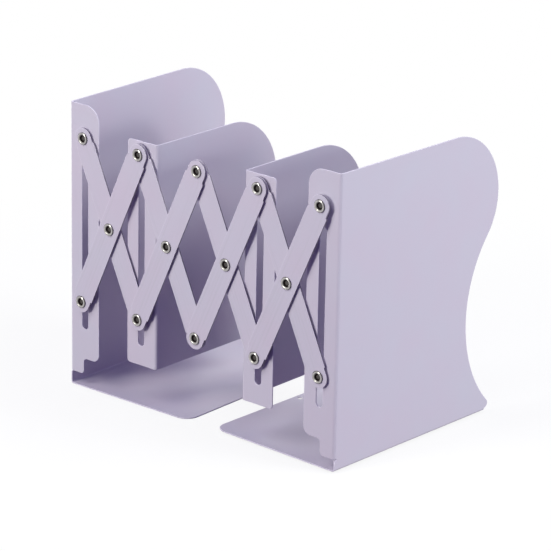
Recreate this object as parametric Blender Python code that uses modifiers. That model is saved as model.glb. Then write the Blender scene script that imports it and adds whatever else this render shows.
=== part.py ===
"""Expandable bookend: folded end plates and dividers carried by a riveted scissor linkage.

Lengths are in metres. X runs along the shelf, Y towards the back and Z up. The origin lies
under the middle of the whole bookend, on the surface that it stands on.
"""

import math
from collections import namedtuple

import bmesh
import bpy
from mathutils import Vector

MM = 0.001

# Sheet metal
SHEET = 0.8 * MM
BEND_INSIDE = 1.0 * MM
BEND_STEPS = 4
CHORD_GAP = 0.05 * MM
WELD = 0.0001 * MM

# Clearances
SEAT_GAP = 0.25 * MM
SHANK_GAP = 0.3 * MM
PASS_GAP = 0.3 * MM

# End plates
PLATE_HEIGHT = 190.0 * MM
PLATE_DEPTH = 150.0 * MM
CROWN_RADIUS = 43.5 * MM
WAIST_CUT = 27.3 * MM
FOOT_SETBACK = 2.0 * MM
FOOT_RADIUS = 3.0 * MM
SPLAY = math.radians(1.4)

# Bases
BASE_LENGTH = 100.5 * MM
BASE_FRONT = 0.3 * MM
BASE_CORNER = 9.5 * MM
BASE_HOLE_RADIUS = 1.65 * MM
BASE_HOLE_EDGE = 4.4 * MM
BASE_HOLE_DEPTH = 76.4 * MM

# Front flanges
FLANGE_WIDTH = 25.0 * MM
FLANGE_CORNER = 11.0 * MM
FLANGE_TOE_WIDTH = 11.5 * MM
FLANGE_TOE_HEIGHT = 9.3 * MM
FLANGE_TOE_RADIUS = 2.8 * MM
FLANGE_STEP_HEIGHT = 20.0 * MM
FLANGE_STEP_CORNER = 5.5 * MM
RELIEF_WIDTH = 0.8 * MM
RELIEF_DEPTH = 0.6 * MM

# Dividers
DIVIDER_DEPTH = 113.0 * MM
DIVIDER_RISE = 8.0 * MM
DIVIDER_DROP = 15.8 * MM
DIVIDER_CORNER = 2.5 * MM
DIVIDER_REAR_CORNER = 10.0 * MM

# Linkage
BAYS = 4
REST_PITCH = 49.2 * MM
FLANGE_CLOSE_GAP = 0.6 * MM
LEAST_ROW_DROP = 16.5 * MM
TOP_ROW_INSET = 21.6 * MM
END_PIVOT_INSET = 12.9 * MM
DIVIDER_PIVOT_INSET = 13.1 * MM
END_SLOT_FOOT = 43.0 * MM
END_SLOT_RUNOUT = 9.0 * MM
DIVIDER_SLOT_RUNOUT = 7.8 * MM

# Bars
BAR_SHEET = 1.0 * MM
BAR_WIDTH = 15.9 * MM
BAR_TAB_RADIUS = 7.0 * MM
BAR_SHOULDER = 4.6 * MM
BAR_SHOULDER_RADIUS = 0.4 * MM

# Rivets, washers and spacers
SHANK_RADIUS = 2.35 * MM
RING_RADIUS = 4.05 * MM
RING_HEIGHT = 0.85 * MM
RING_EDGE = 0.35 * MM
CROWN_LINE_RADIUS = 3.2 * MM
MOUTH_RADIUS = 2.55 * MM
MOUTH_LIP = 0.2 * MM
FUNNEL_DEPTH = 1.2 * MM
BORE_RADIUS = 1.7 * MM
BORE_DEPTH = 2.4 * MM
HEAD_RADIUS = 4.1 * MM
HEAD_HEIGHT = 0.9 * MM
HEAD_EDGE = 0.35 * MM
HEAD_FLAT_RADIUS = 3.2 * MM
WASHER = 0.4 * MM
WASHER_RADIUS = 3.9 * MM
TURN_STEPS = 16

# Pads under the right base
PAD_INSET = 3.2 * MM
PAD_WIDTH = 16.0 * MM
PAD_LENGTH = 34.0 * MM
PAD_CORNER = 3.0 * MM
PAD_END_INSET = 10.0 * MM

# Sizes that follow from those above
RIGHT_ANGLE = math.pi / 2
BEND_RADIUS = BEND_INSIDE + SHEET
FLANGE_BEND = RIGHT_ANGLE - SPLAY
HOLE_RADIUS = SHANK_RADIUS + SHANK_GAP
BASE_RAISE = SHEET + PASS_GAP

# The bars reach from the top row to the foot of the slots when the bookend is closed
TOP_ROW = PLATE_HEIGHT - TOP_ROW_INSET
MOST_DROP = TOP_ROW - END_SLOT_FOOT - END_SLOT_RUNOUT
CLOSED_PITCH = 2 * FLANGE_WIDTH - END_PIVOT_INSET - DIVIDER_PIVOT_INSET + FLANGE_CLOSE_GAP
BAR_REACH = math.hypot(MOST_DROP, CLOSED_PITCH)
REST_DROP = math.sqrt(BAR_REACH ** 2 - REST_PITCH ** 2)
BOTTOM_ROW = TOP_ROW - REST_DROP
MIDDLE_ROW = TOP_ROW - REST_DROP / 2
LEAN = math.asin(REST_PITCH / BAR_REACH)
WIDTH = 2 * END_PIVOT_INSET + BAYS * REST_PITCH
DIVIDER_COLUMNS = (1, BAYS - 1)
FLANGED_COLUMNS = (0, *DIVIDER_COLUMNS, BAYS)

# Layers of the stack, as distances in front of the flanges
FLANGE_REAR = -SHEET
REAR_WASHER_REAR = SEAT_GAP
BACK_BAR_REAR = 2 * SEAT_GAP + WASHER
BACK_BAR_FRONT = BACK_BAR_REAR + BAR_SHEET
MIDDLE_WASHER_REAR = BACK_BAR_FRONT + SEAT_GAP
FRONT_BAR_REAR = MIDDLE_WASHER_REAR + WASHER + SEAT_GAP
FRONT_BAR_FRONT = FRONT_BAR_REAR + BAR_SHEET
STACK_FRONT = FRONT_BAR_FRONT + SEAT_GAP + RING_HEIGHT

# Where the front of the flanges lies, so that the whole bookend is centred on the origin
DEPTH_REACH = PLATE_DEPTH * math.cos(SPLAY) + SHEET * math.sin(SPLAY)
FLANGE_FRONT_Y = (STACK_FRONT - DEPTH_REACH) / 2

Body = namedtuple("Body", "empty place")


def clear_scene():
    """Remove the objects of the open scene."""
    for item in list(bpy.data.objects):
        bpy.data.objects.remove(item)


def new_collection(name):
    """Collection for the finished pieces."""
    collection = bpy.data.collections.new(name)
    bpy.context.scene.collection.children.link(collection)
    return collection


def new_material(name, colour, roughness, metallic):
    """Principled material with one colour."""
    material = bpy.data.materials.new(name)
    material.use_nodes = True
    shader = material.node_tree.nodes["Principled BSDF"]
    shader.inputs["Base Color"].default_value = (*colour, 1.0)
    shader.inputs["Roughness"].default_value = roughness
    shader.inputs["Metallic"].default_value = metallic
    return material


def arc(centre, radius, start, end):
    """Points from one angle to another, their facets within CHORD_GAP of the true arc."""
    widest = 2 * math.acos(1 - CHORD_GAP / max(radius, CHORD_GAP))
    count = max(2, math.ceil(abs(end - start) / widest))
    angles = [start + (end - start) * step / count for step in range(count + 1)]
    return [centre + Vector((math.cos(angle), math.sin(angle))) * radius for angle in angles]


def circle(centre, radius):
    """Closed round outline."""
    return arc(centre, radius, 0, 2 * math.pi)[:-1]


def slot(x, low, high, radius):
    """Upright slot whose round ends are centred on low and high."""
    top = arc(Vector((x, high)), radius, 0, math.pi)
    bottom = arc(Vector((x, low)), radius, math.pi, 2 * math.pi)
    return top + bottom


def rounded(corners):
    """Outline through corners (x, y, radius), each rounded by its own radius."""
    outline = []
    for index, (x, y, radius) in enumerate(corners):
        corner = Vector((x, y))
        if not radius:
            outline.append(corner)
            continue
        following = corners[(index + 1) % len(corners)]
        before = (Vector(corners[index - 1][:2]) - corner).normalized()
        after = (Vector(following[:2]) - corner).normalized()
        half = before.angle(after) / 2
        centre = corner + (before + after).normalized() * radius / math.sin(half)
        first = corner + before * radius / math.tan(half) - centre
        last = corner + after * radius / math.tan(half) - centre
        start = math.atan2(first.y, first.x)
        turn = math.atan2(first.cross(last), first.dot(last))
        outline += arc(centre, radius, start, start + turn)
    return outline


def sheet_mesh(name, outlines, thickness):
    """Closed flat mesh standing on Z = 0; the first outline is the rim, the others are holes."""
    curve = bpy.data.curves.new(name, "CURVE")
    curve.dimensions = "2D"
    curve.fill_mode = "BOTH"
    curve.extrude = thickness / 2
    for outline in outlines:
        spline = curve.splines.new("POLY")
        spline.points.add(len(outline) - 1)
        for point, place in zip(spline.points, outline):
            point.co = (place.x, place.y, 0, 1)
        spline.use_cyclic_u = True
    drawing = bpy.data.objects.new(name, curve)
    bpy.context.scene.collection.objects.link(drawing)
    depsgraph = bpy.context.evaluated_depsgraph_get()
    mesh = bpy.data.meshes.new_from_object(drawing.evaluated_get(depsgraph))
    bpy.data.objects.remove(drawing)
    bpy.data.curves.remove(curve)
    solid = bmesh.new()
    solid.from_mesh(mesh)
    bmesh.ops.remove_doubles(solid, verts=solid.verts, dist=WELD)
    bmesh.ops.translate(solid, verts=solid.verts, vec=(0, 0, thickness / 2))
    bmesh.ops.recalc_face_normals(solid, faces=solid.faces)
    solid.to_mesh(mesh)
    solid.free()
    return mesh


def setback(angle):
    """Distance from a bend's outside corner to where the sheet starts to curve."""
    return BEND_RADIUS * math.tan(angle / 2)


def beyond_bend(distance, angle):
    """Place on the flat blank of a point that far past the outside corner of a bend."""
    return 2 * setback(angle) - BEND_RADIUS * angle - distance


def bent(along, depth, angle):
    """Carry a point of the blank round a bend.

    The point lies at along on the blank and at depth inside its outer face. The result is its
    distance across, in from the outer face, and its distance along the unbent side.
    """
    past = setback(angle) - along
    if past <= 0:
        return depth, along
    turned = min(past / BEND_RADIUS, angle)
    straight = past - BEND_RADIUS * turned
    arm = BEND_RADIUS - depth
    across = BEND_RADIUS - arm * math.cos(turned) + straight * math.sin(turned)
    back = setback(angle) - arm * math.sin(turned) - straight * math.cos(turned)
    return across, back


def crease(solid, axis, angle, above):
    """Cut the blank along the lines where the facets of a bend meet, above one height."""
    normal = Vector((0, 0, 0))
    normal[axis] = 1
    for step in range(BEND_STEPS + 1):
        line = setback(angle) - BEND_RADIUS * angle * step / BEND_STEPS
        faces = [face for face in solid.faces if face.calc_center_median().y > above]
        edges = {edge for face in faces for edge in face.edges}
        verts = {vert for face in faces for vert in face.verts}
        geometry = faces + list(edges) + list(verts)
        bmesh.ops.bisect_plane(solid, geom=geometry, dist=WELD, plane_co=normal * line, plane_no=normal)


def fold(mesh, side, flange_angle, pivot_inset, floor=None, relief=None):
    """Fold a flat blank into a plate with a front flange and, where floor is given, a base.

    The blank has depth along X and height along Y. Side is 1 where the flange points along +X
    from the plate and -1 where it points along -X. The result has its origin on the pivot of
    the flange's top row, with the flange's front face on Y = 0.
    """
    solid = bmesh.new()
    solid.from_mesh(mesh)
    lowest = min(vert.co.y for vert in solid.verts) - SHEET
    if floor is not None:
        level = Vector((0, relief, 0))
        everything = solid.verts[:] + solid.edges[:] + solid.faces[:]
        bmesh.ops.bisect_plane(solid, geom=everything, dist=WELD, plane_co=level, plane_no=(0, 1, 0))
        bmesh.ops.translate(solid, verts=solid.verts, vec=(0, -floor, 0))
        crease(solid, 1, RIGHT_ANGLE, lowest - floor)
        bmesh.ops.translate(solid, verts=solid.verts, vec=(0, floor, 0))
        lowest = relief
    crease(solid, 0, flange_angle, lowest)
    opening = RIGHT_ANGLE - flange_angle
    for vert in solid.verts:
        back, height, across = vert.co
        if height > lowest:
            across, back = bent(back, across, flange_angle)
        elif floor is not None:
            across, height = bent(height - floor, across, RIGHT_ANGLE)
            height += floor
        turned_x = across * math.cos(opening) - back * math.sin(opening)
        turned_y = across * math.sin(opening) + back * math.cos(opening)
        vert.co = (side * (turned_x - pivot_inset), turned_y, height - TOP_ROW)
    if side < 0:
        bmesh.ops.reverse_faces(solid, faces=solid.faces)
    solid.to_mesh(mesh)
    solid.free()
    return mesh


def waist_radius(crown, foot, waist_depth):
    """Radius of the hollow curve that touches the crown and foot arcs at the waist's depth.

    The height from either arc's centre to the curve's centre, squared, grows evenly with the
    radius. Both heights together fill the rise from foot to crown, and a quadratic gives the
    upper one.
    """
    crown_side = waist_depth - crown.x
    foot_side = waist_depth - foot.x
    rise = crown.y - foot.y
    growth_ratio = (FOOT_RADIUS - foot_side) / (CROWN_RADIUS - crown_side)
    crown_part = CROWN_RADIUS ** 2 - crown_side ** 2
    foot_part = FOOT_RADIUS ** 2 - foot_side ** 2
    span = rise ** 2 - foot_part + growth_ratio * crown_part
    upper = span / (rise + math.sqrt(rise ** 2 - (1 - growth_ratio) * span))
    return (upper ** 2 - crown_part) / (CROWN_RADIUS - crown_side) / 2


def rear_curve(floor):
    """Rear edge of an end plate: round crown, hollow waist and small round foot."""
    crown = Vector((PLATE_DEPTH - CROWN_RADIUS, PLATE_HEIGHT - CROWN_RADIUS))
    foot = Vector((PLATE_DEPTH - FOOT_SETBACK - FOOT_RADIUS, floor + BEND_RADIUS + FOOT_RADIUS))
    waist_depth = PLATE_DEPTH - WAIST_CUT
    radius = waist_radius(crown, foot, waist_depth)
    side = waist_depth + radius
    height = crown.y - math.sqrt((CROWN_RADIUS + radius) ** 2 - (side - crown.x) ** 2)
    waist = Vector((side, height))
    towards_waist = math.atan2(waist.y - crown.y, waist.x - crown.x)
    towards_foot = math.atan2(foot.y - waist.y, foot.x - waist.x) + 2 * math.pi
    edge = arc(crown, CROWN_RADIUS, RIGHT_ANGLE, towards_waist)
    edge += arc(waist, radius, towards_waist + math.pi, towards_foot)[1:]
    edge += arc(foot, FOOT_RADIUS, towards_foot - math.pi, -RIGHT_ANGLE)[1:]
    return edge


def end_plate_mesh(name, side, floor):
    """End plate with its slotted front flange and its base, folded from one blank."""
    rear = rear_curve(floor)
    free_edge = beyond_bend(FLANGE_WIDTH, FLANGE_BEND)
    toe_edge = beyond_bend(FLANGE_TOE_WIDTH, FLANGE_BEND)
    pivot = beyond_bend(END_PIVOT_INSET, FLANGE_BEND)
    base_edge = floor + beyond_bend(BASE_LENGTH, RIGHT_ANGLE)
    relief_back = setback(FLANGE_BEND) + RELIEF_DEPTH
    relief_low = FLANGE_TOE_HEIGHT - RELIEF_WIDTH
    corners = [(free_edge, PLATE_HEIGHT, FLANGE_CORNER)]
    corners += [(point.x, point.y, 0) for point in rear]
    corners += [
        (rear[-1].x, base_edge, BASE_CORNER),
        (BASE_FRONT, base_edge, BASE_CORNER),
        (BASE_FRONT, relief_low, 0),
        (relief_back, relief_low, 0),
        (relief_back, FLANGE_TOE_HEIGHT, 0),
        (toe_edge, FLANGE_TOE_HEIGHT, FLANGE_TOE_RADIUS),
        (toe_edge, FLANGE_STEP_HEIGHT, FLANGE_TOE_RADIUS),
        (free_edge, FLANGE_STEP_HEIGHT, FLANGE_STEP_CORNER),
    ]
    base_hole = Vector((BASE_HOLE_DEPTH, base_edge + BASE_HOLE_EDGE))
    holes = [
        circle(Vector((pivot, TOP_ROW)), HOLE_RADIUS),
        slot(pivot, END_SLOT_FOOT, TOP_ROW - LEAST_ROW_DROP, HOLE_RADIUS),
        circle(base_hole, BASE_HOLE_RADIUS),
    ]
    mesh = sheet_mesh(name, [rounded(corners)] + holes, SHEET)
    relief_middle = (relief_low + FLANGE_TOE_HEIGHT) / 2
    return fold(mesh, side, FLANGE_BEND, END_PIVOT_INSET, floor, relief_middle)


def divider_mesh(name, side):
    """Divider with its slotted front flange, folded from one blank."""
    slot_low = TOP_ROW - MOST_DROP - DIVIDER_SLOT_RUNOUT
    top = TOP_ROW + DIVIDER_RISE
    bottom = slot_low - DIVIDER_DROP
    free_edge = beyond_bend(FLANGE_WIDTH, RIGHT_ANGLE)
    pivot = beyond_bend(DIVIDER_PIVOT_INSET, RIGHT_ANGLE)
    corners = [
        (free_edge, top, DIVIDER_CORNER),
        (DIVIDER_DEPTH, top, CROWN_RADIUS),
        (DIVIDER_DEPTH, bottom, DIVIDER_REAR_CORNER),
        (free_edge, bottom, DIVIDER_CORNER),
    ]
    holes = [
        circle(Vector((pivot, TOP_ROW)), HOLE_RADIUS),
        slot(pivot, slot_low, TOP_ROW - LEAST_ROW_DROP, HOLE_RADIUS),
    ]
    mesh = sheet_mesh(name, [rounded(corners)] + holes, SHEET)
    return fold(mesh, side, RIGHT_ANGLE, DIVIDER_PIVOT_INSET)


def bar_mesh(name, first_pivot, rear):
    """Linkage bar along X with three pivot holes and narrower round ends.

    The first pivot lies at first_pivot, and the bar's rear face lies at rear on Z.
    """
    middle = BAR_REACH / 2
    half_width = BAR_WIDTH / 2
    end = arc(Vector((middle, 0)), BAR_TAB_RADIUS, RIGHT_ANGLE, -RIGHT_ANGLE)
    shoulder = middle - BAR_SHOULDER
    upper_step = [
        (shoulder, half_width, BAR_SHOULDER_RADIUS),
        (shoulder, BAR_TAB_RADIUS, BAR_SHOULDER_RADIUS),
    ]
    lower_step = [(x, -y, radius) for x, y, radius in reversed(upper_step)]
    right_half = upper_step + [(point.x, point.y, 0) for point in end] + lower_step
    left_half = [(-x, -y, radius) for x, y, radius in right_half]
    holes = [circle(Vector((x, 0)), HOLE_RADIUS) for x in (-middle, 0, middle)]
    mesh = sheet_mesh(name, [rounded(right_half + left_half)] + holes, BAR_SHEET)
    for vert in mesh.vertices:
        vert.co.x += middle + first_pivot
        vert.co.z += rear
    return mesh


def turned_mesh(name, profile, closed):
    """Mesh turned about Z from a profile of (radius, height) that runs down its outer side."""
    mesh = bpy.data.meshes.new(name)
    wire = bmesh.new()
    verts = [wire.verts.new((radius, 0, height)) for radius, height in profile]
    for first, second in zip(verts, verts[1:]):
        wire.edges.new((first, second))
    if closed:
        wire.edges.new((verts[-1], verts[0]))
    wire.to_mesh(mesh)
    wire.free()
    return mesh


def rivet_profile(bearing_rear, bearing_front, head_height, head_edge):
    """Profile of a tubular rivet: blind bore, rolled ring in front, shank and rear head."""
    ring_rear = bearing_front + SEAT_GAP
    front = ring_rear + RING_HEIGHT
    head_front = bearing_rear - SEAT_GAP
    head_rear = head_front - head_height
    return [
        (0, front - BORE_DEPTH),
        (BORE_RADIUS, front - BORE_DEPTH),
        (BORE_RADIUS, front - FUNNEL_DEPTH),
        (MOUTH_RADIUS, front - MOUTH_LIP),
        (CROWN_LINE_RADIUS, front),
        (RING_RADIUS, front - RING_EDGE),
        (RING_RADIUS, ring_rear),
        (SHANK_RADIUS, ring_rear),
        (SHANK_RADIUS, head_front),
        (HEAD_RADIUS, head_front),
        (HEAD_RADIUS, head_front - head_edge),
        (HEAD_FLAT_RADIUS, head_rear),
        (0, head_rear),
    ]


def washer_profile(rear, front):
    """Profile of a plain ring round a shank."""
    inside = HOLE_RADIUS
    return [(inside, front), (WASHER_RADIUS, front), (WASHER_RADIUS, rear), (inside, rear)]


class Builder:
    """Places the pieces and the empties on the joints that carry them."""

    def __init__(self, collection, materials):
        self.collection = collection
        self.materials = materials

    def body(self, name, column, row, parent=None):
        """Empty on the joint of a moving body, at a pivot of the linkage."""
        empty = bpy.data.objects.new(name, None)
        empty.empty_display_size = BAR_WIDTH
        self.collection.objects.link(empty)
        place = pivot_place(column, row)
        empty.location = place
        if parent:
            empty.parent = parent.empty
            empty.location = place - parent.place
        return Body(empty, place)

    def piece(self, name, mesh, material, body, place, rotation=(0, 0, 0)):
        """One named piece, carried by its body."""
        item = bpy.data.objects.new(name, mesh)
        self.collection.objects.link(item)
        item.parent = body.empty
        item.location = place - body.place
        item.rotation_euler = rotation
        if not mesh.materials:
            mesh.materials.append(self.materials[material])
        return item

    def turned(self, name, mesh, material, body, column, row):
        """Turned piece whose axis runs forward through a pivot."""
        place = pivot_place(column, row)
        item = self.piece(name, mesh, material, body, place, (RIGHT_ANGLE, 0, 0))
        screw = item.modifiers.new("Turn", "SCREW")
        screw.axis = "Z"
        screw.angle = 2 * math.pi
        screw.steps = TURN_STEPS
        screw.render_steps = TURN_STEPS
        screw.use_merge_vertices = True
        screw.merge_threshold = WELD
        screw.use_smooth_shade = False
        return item


def pivot_place(column, row):
    """World place of a pivot, on the front face of the flanges."""
    x = END_PIVOT_INSET + column * REST_PITCH - WIDTH / 2
    return Vector((x, FLANGE_FRONT_Y, row))


def link_bodies(build, left_end):
    """Empties of the bars, hung on each other in a zigzag along the upper and lower pivots.

    An odd bay hangs by the top of its back bar, and an even one by the foot of its front bar.
    The other bar of the bay is carried at the crossing.
    """
    back = {}
    front = {}
    carrier = left_end
    for bay in range(1, BAYS + 1):
        if bay % 2:
            back[bay] = build.body(f"back_link_{bay}", bay - 1, TOP_ROW, carrier)
            front[bay] = build.body(f"front_link_{bay}", bay - 0.5, MIDDLE_ROW, back[bay])
            carrier = back[bay]
        else:
            front[bay] = build.body(f"front_link_{bay}", bay - 1, BOTTOM_ROW, carrier)
            back[bay] = build.body(f"back_link_{bay}", bay - 0.5, MIDDLE_ROW, front[bay])
            carrier = front[bay]
    return back, front


def add_bars(build, back, front):
    """Four back bars leaning right-down and four front bars leaning left-down."""
    back_mesh = bar_mesh("back_bar", 0, BACK_BAR_REAR)
    front_mesh = bar_mesh("front_bar", -BAR_REACH / 2, FRONT_BAR_REAR)
    for bay in range(1, BAYS + 1):
        top = pivot_place(bay - 1, TOP_ROW)
        middle = pivot_place(bay - 0.5, MIDDLE_ROW)
        down_right = (RIGHT_ANGLE, RIGHT_ANGLE - LEAN, 0)
        down_left = (RIGHT_ANGLE, RIGHT_ANGLE + LEAN, 0)
        build.piece(f"bar_back_{bay}", back_mesh, "coat", back[bay], top, down_right)
        build.piece(f"bar_front_{bay}", front_mesh, "coat", front[bay], middle, down_left)


def add_plates(build, left_end, right_end, dividers):
    """End plates and dividers, each on the pivot of its flange."""
    left_mesh = end_plate_mesh("left_end_plate", 1, 0)
    build.piece("left_end_plate", left_mesh, "coat", left_end, pivot_place(0, TOP_ROW))
    right_mesh = end_plate_mesh("right_end_plate", -1, BASE_RAISE)
    build.piece("right_end_plate", right_mesh, "coat", right_end, pivot_place(BAYS, TOP_ROW))
    for number, (column, side) in enumerate(zip(DIVIDER_COLUMNS, (-1, 1)), start=1):
        name = f"divider_{number}"
        place = pivot_place(column, TOP_ROW)
        build.piece(name, divider_mesh(name, side), "coat", dividers[column], place)


def add_pads(build, right_end):
    """Two thin pads that carry the raised right base, where the left base never reaches."""
    half_width = PAD_WIDTH / 2
    half_length = PAD_LENGTH / 2
    corners = [
        (-half_width, -half_length, PAD_CORNER),
        (half_width, -half_length, PAD_CORNER),
        (half_width, half_length, PAD_CORNER),
        (-half_width, half_length, PAD_CORNER),
    ]
    mesh = sheet_mesh("pad", [rounded(corners)], BASE_RAISE - SEAT_GAP)
    corner = Vector((WIDTH / 2, FLANGE_FRONT_Y, 0))
    across = PAD_INSET + half_width
    rear = PLATE_DEPTH - FOOT_SETBACK - FOOT_RADIUS
    depths = {"front": PAD_END_INSET + half_length, "rear": rear - PAD_END_INSET - half_length}
    for name, depth in depths.items():
        shift = Vector((
            depth * math.sin(SPLAY) - across * math.cos(SPLAY),
            depth * math.cos(SPLAY) + across * math.sin(SPLAY),
            0,
        ))
        build.piece(f"pad_{name}", mesh, "rubber", right_end, corner + shift, (0, 0, -SPLAY))


def add_rivets(build, left_end, right_end, back, front):
    """Rivets at every pivot, each on the body that it is fixed to."""
    head = (HEAD_HEIGHT, HEAD_EDGE)
    thin_head = (WASHER, WASHER / 2)
    one_bar = rivet_profile(FLANGE_REAR, BACK_BAR_FRONT, *head)
    two_bars = rivet_profile(FLANGE_REAR, FRONT_BAR_FRONT, *head)
    bars_alone = rivet_profile(BACK_BAR_REAR, FRONT_BAR_FRONT, *thin_head)
    short = turned_mesh("rivet_short", one_bar, False)
    long = turned_mesh("rivet_long", two_bars, False)
    free = turned_mesh("rivet_free", bars_alone, False)
    top_owners = {0: left_end, **front, BAYS: right_end}
    bottom_owners = {0: front[1], **back}
    for column in range(BAYS + 1):
        full = long if column in FLANGED_COLUMNS else free
        top = short if column == 0 else full
        bottom = short if column == BAYS else full
        build.turned(f"rivet_top_{column}", top, "nickel", top_owners[column], column, TOP_ROW)
        owner = bottom_owners[column]
        build.turned(f"rivet_bottom_{column}", bottom, "nickel", owner, column, BOTTOM_ROW)
    for bay in range(1, BAYS + 1):
        build.turned(f"rivet_middle_{bay}", free, "nickel", back[bay], bay - 0.5, MIDDLE_ROW)


def add_washers(build, left_end, right_end, back, front):
    """Thin washers between flange and bar and between bars, and two deep spacers."""
    behind = washer_profile(REAR_WASHER_REAR, REAR_WASHER_REAR + WASHER)
    between_bars = washer_profile(MIDDLE_WASHER_REAR, MIDDLE_WASHER_REAR + WASHER)
    both_layers = washer_profile(REAR_WASHER_REAR, MIDDLE_WASHER_REAR + WASHER)
    rear = turned_mesh("washer_rear", behind, True)
    middle = turned_mesh("washer_middle", between_bars, True)
    spacer = turned_mesh("spacer", both_layers, True)
    top_owners = {0: left_end, **front}
    for column in FLANGED_COLUMNS[:-1]:
        name = f"washer_rear_top_{column}"
        build.turned(name, rear, "zinc", top_owners[column], column, TOP_ROW)
    for column in FLANGED_COLUMNS[1:]:
        build.turned(f"washer_rear_bottom_{column}", rear, "zinc", back[column], column, BOTTOM_ROW)
    for column in range(1, BAYS):
        build.turned(f"washer_bars_top_{column}", middle, "zinc", front[column], column, TOP_ROW)
        build.turned(f"washer_bars_bottom_{column}", middle, "zinc", back[column], column, BOTTOM_ROW)
    for bay in range(1, BAYS + 1):
        build.turned(f"washer_bars_middle_{bay}", middle, "zinc", back[bay], bay - 0.5, MIDDLE_ROW)
    build.turned(f"spacer_top_{BAYS}", spacer, "zinc", right_end, BAYS, TOP_ROW)
    build.turned("spacer_bottom_0", spacer, "zinc", front[1], 0, BOTTOM_ROW)


def main():
    """Build the bookend at the opening that it has in use, about half closed."""
    clear_scene()
    materials = {
        "coat": new_material("powder_coat", (0.558, 0.485, 0.597), 0.5, 0.0),
        "nickel": new_material("nickel_plate", (0.66, 0.63, 0.58), 0.22, 1.0),
        "zinc": new_material("zinc_plate", (0.50, 0.50, 0.52), 0.4, 1.0),
        "rubber": new_material("grey_rubber", (0.05, 0.05, 0.055), 0.8, 0.0),
    }
    build = Builder(new_collection("expandable_bookend"), materials)
    left_end = build.body("left_end", 0, TOP_ROW)
    back, front = link_bodies(build, left_end)
    right_end = build.body("right_end", BAYS, TOP_ROW, front[BAYS])
    dividers = {}
    for column in DIVIDER_COLUMNS:
        dividers[column] = build.body(f"divider_pivot_{column}", column, TOP_ROW, front[column])
    add_plates(build, left_end, right_end, dividers)
    add_bars(build, back, front)
    add_rivets(build, left_end, right_end, back, front)
    add_washers(build, left_end, right_end, back, front)
    add_pads(build, right_end)


main()
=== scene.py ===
"""Expandable bookend: two folded end plates and two dividers on a riveted scissor linkage.

Lengths are in metres. X runs along the shelf, Y towards the back and Z up, as in the frame.
"""

import logging
import math
from collections.abc import Sequence
from dataclasses import dataclass
from enum import Enum

import bmesh
import bpy
from mathutils import Matrix, Vector

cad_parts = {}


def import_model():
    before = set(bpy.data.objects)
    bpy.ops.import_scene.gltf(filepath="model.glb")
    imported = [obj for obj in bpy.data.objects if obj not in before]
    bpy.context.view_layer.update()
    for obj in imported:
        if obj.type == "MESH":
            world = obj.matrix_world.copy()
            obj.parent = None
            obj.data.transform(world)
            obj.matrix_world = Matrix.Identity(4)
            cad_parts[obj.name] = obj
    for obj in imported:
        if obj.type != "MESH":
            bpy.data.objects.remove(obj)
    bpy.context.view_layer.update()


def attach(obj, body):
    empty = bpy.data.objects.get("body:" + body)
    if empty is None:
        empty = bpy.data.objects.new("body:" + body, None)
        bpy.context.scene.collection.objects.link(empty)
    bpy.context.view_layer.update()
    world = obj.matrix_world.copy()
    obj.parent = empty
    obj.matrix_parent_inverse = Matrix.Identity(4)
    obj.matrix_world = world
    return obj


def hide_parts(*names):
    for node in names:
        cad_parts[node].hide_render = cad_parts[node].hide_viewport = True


MM = 0.001
RIGHT_ANGLE = math.pi / 2
RIM = "rim"
BORE = "bore"
SEAT = "seat"
CUT = "cut"
RUB = "rub"
RUN = "run"
NOISE_MIDDLE = 0.5
LEAST_FACETS = 4
WHITE = (1.0, 1.0, 1.0)

# Places of the two colours and of the result among the sockets of a Mix node.
FIRST_COLOUR, SECOND_COLOUR, MIXED_COLOUR = 6, 7, 2

log = logging.getLogger("bookend")


class TreeKind(Enum):
    """Kinds of node group."""

    SHAPE = "GeometryNodeTree"
    SHADER = "ShaderNodeTree"


class PortKind(Enum):
    """Kinds of socket on a node group."""

    NUMBER = "NodeSocketFloat"
    COUNT = "NodeSocketInt"
    VECTOR = "NodeSocketVector"
    GEOMETRY = "NodeSocketGeometry"
    MATERIAL = "NodeSocketMaterial"


class Slot(Enum):
    """Material slots of the record."""

    COAT = "coat"
    NICKEL = "nickel"
    ZINC = "zinc"
    RUBBER = "rubber"


class Pointing(Enum):
    """Way in which a front flange points from its plate."""

    RIGHT = 1
    LEFT = -1


class Row(Enum):
    """Rows of pivots."""

    TOP = "top"
    MIDDLE = "middle"
    BOTTOM = "bottom"


class Layer(Enum):
    """Layers of bars in front of the flanges."""

    BACK = "back"
    FRONT = "front"


class RivetKind(Enum):
    """Kinds of rivet.

    SHORT holds a flange and a back bar, LONG a flange, a front bar and what lies between them, and
    FREE two bars alone.
    """

    SHORT = "short"
    LONG = "long"
    FREE = "free"


class RingKind(Enum):
    """Kinds of ring round a rivet's shank.

    REAR lies between a flange and a back bar, BARS between two bars, and SPACER between a flange and
    a front bar.
    """

    REAR = "washer_rear"
    BARS = "washer_bars"
    SPACER = "spacer"


@dataclass(frozen=True)
class Port:
    """A named socket of a node group."""

    name: str
    kind: PortKind = PortKind.NUMBER


SHEET_PORTS = (
    Port("Outlines", PortKind.GEOMETRY),
    Port("Thickness"),
    Port("Rim Radius"),
    Port("Rim Band"),
    Port("Rim Facets", PortKind.COUNT),
    Port("Weld"),
)


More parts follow.
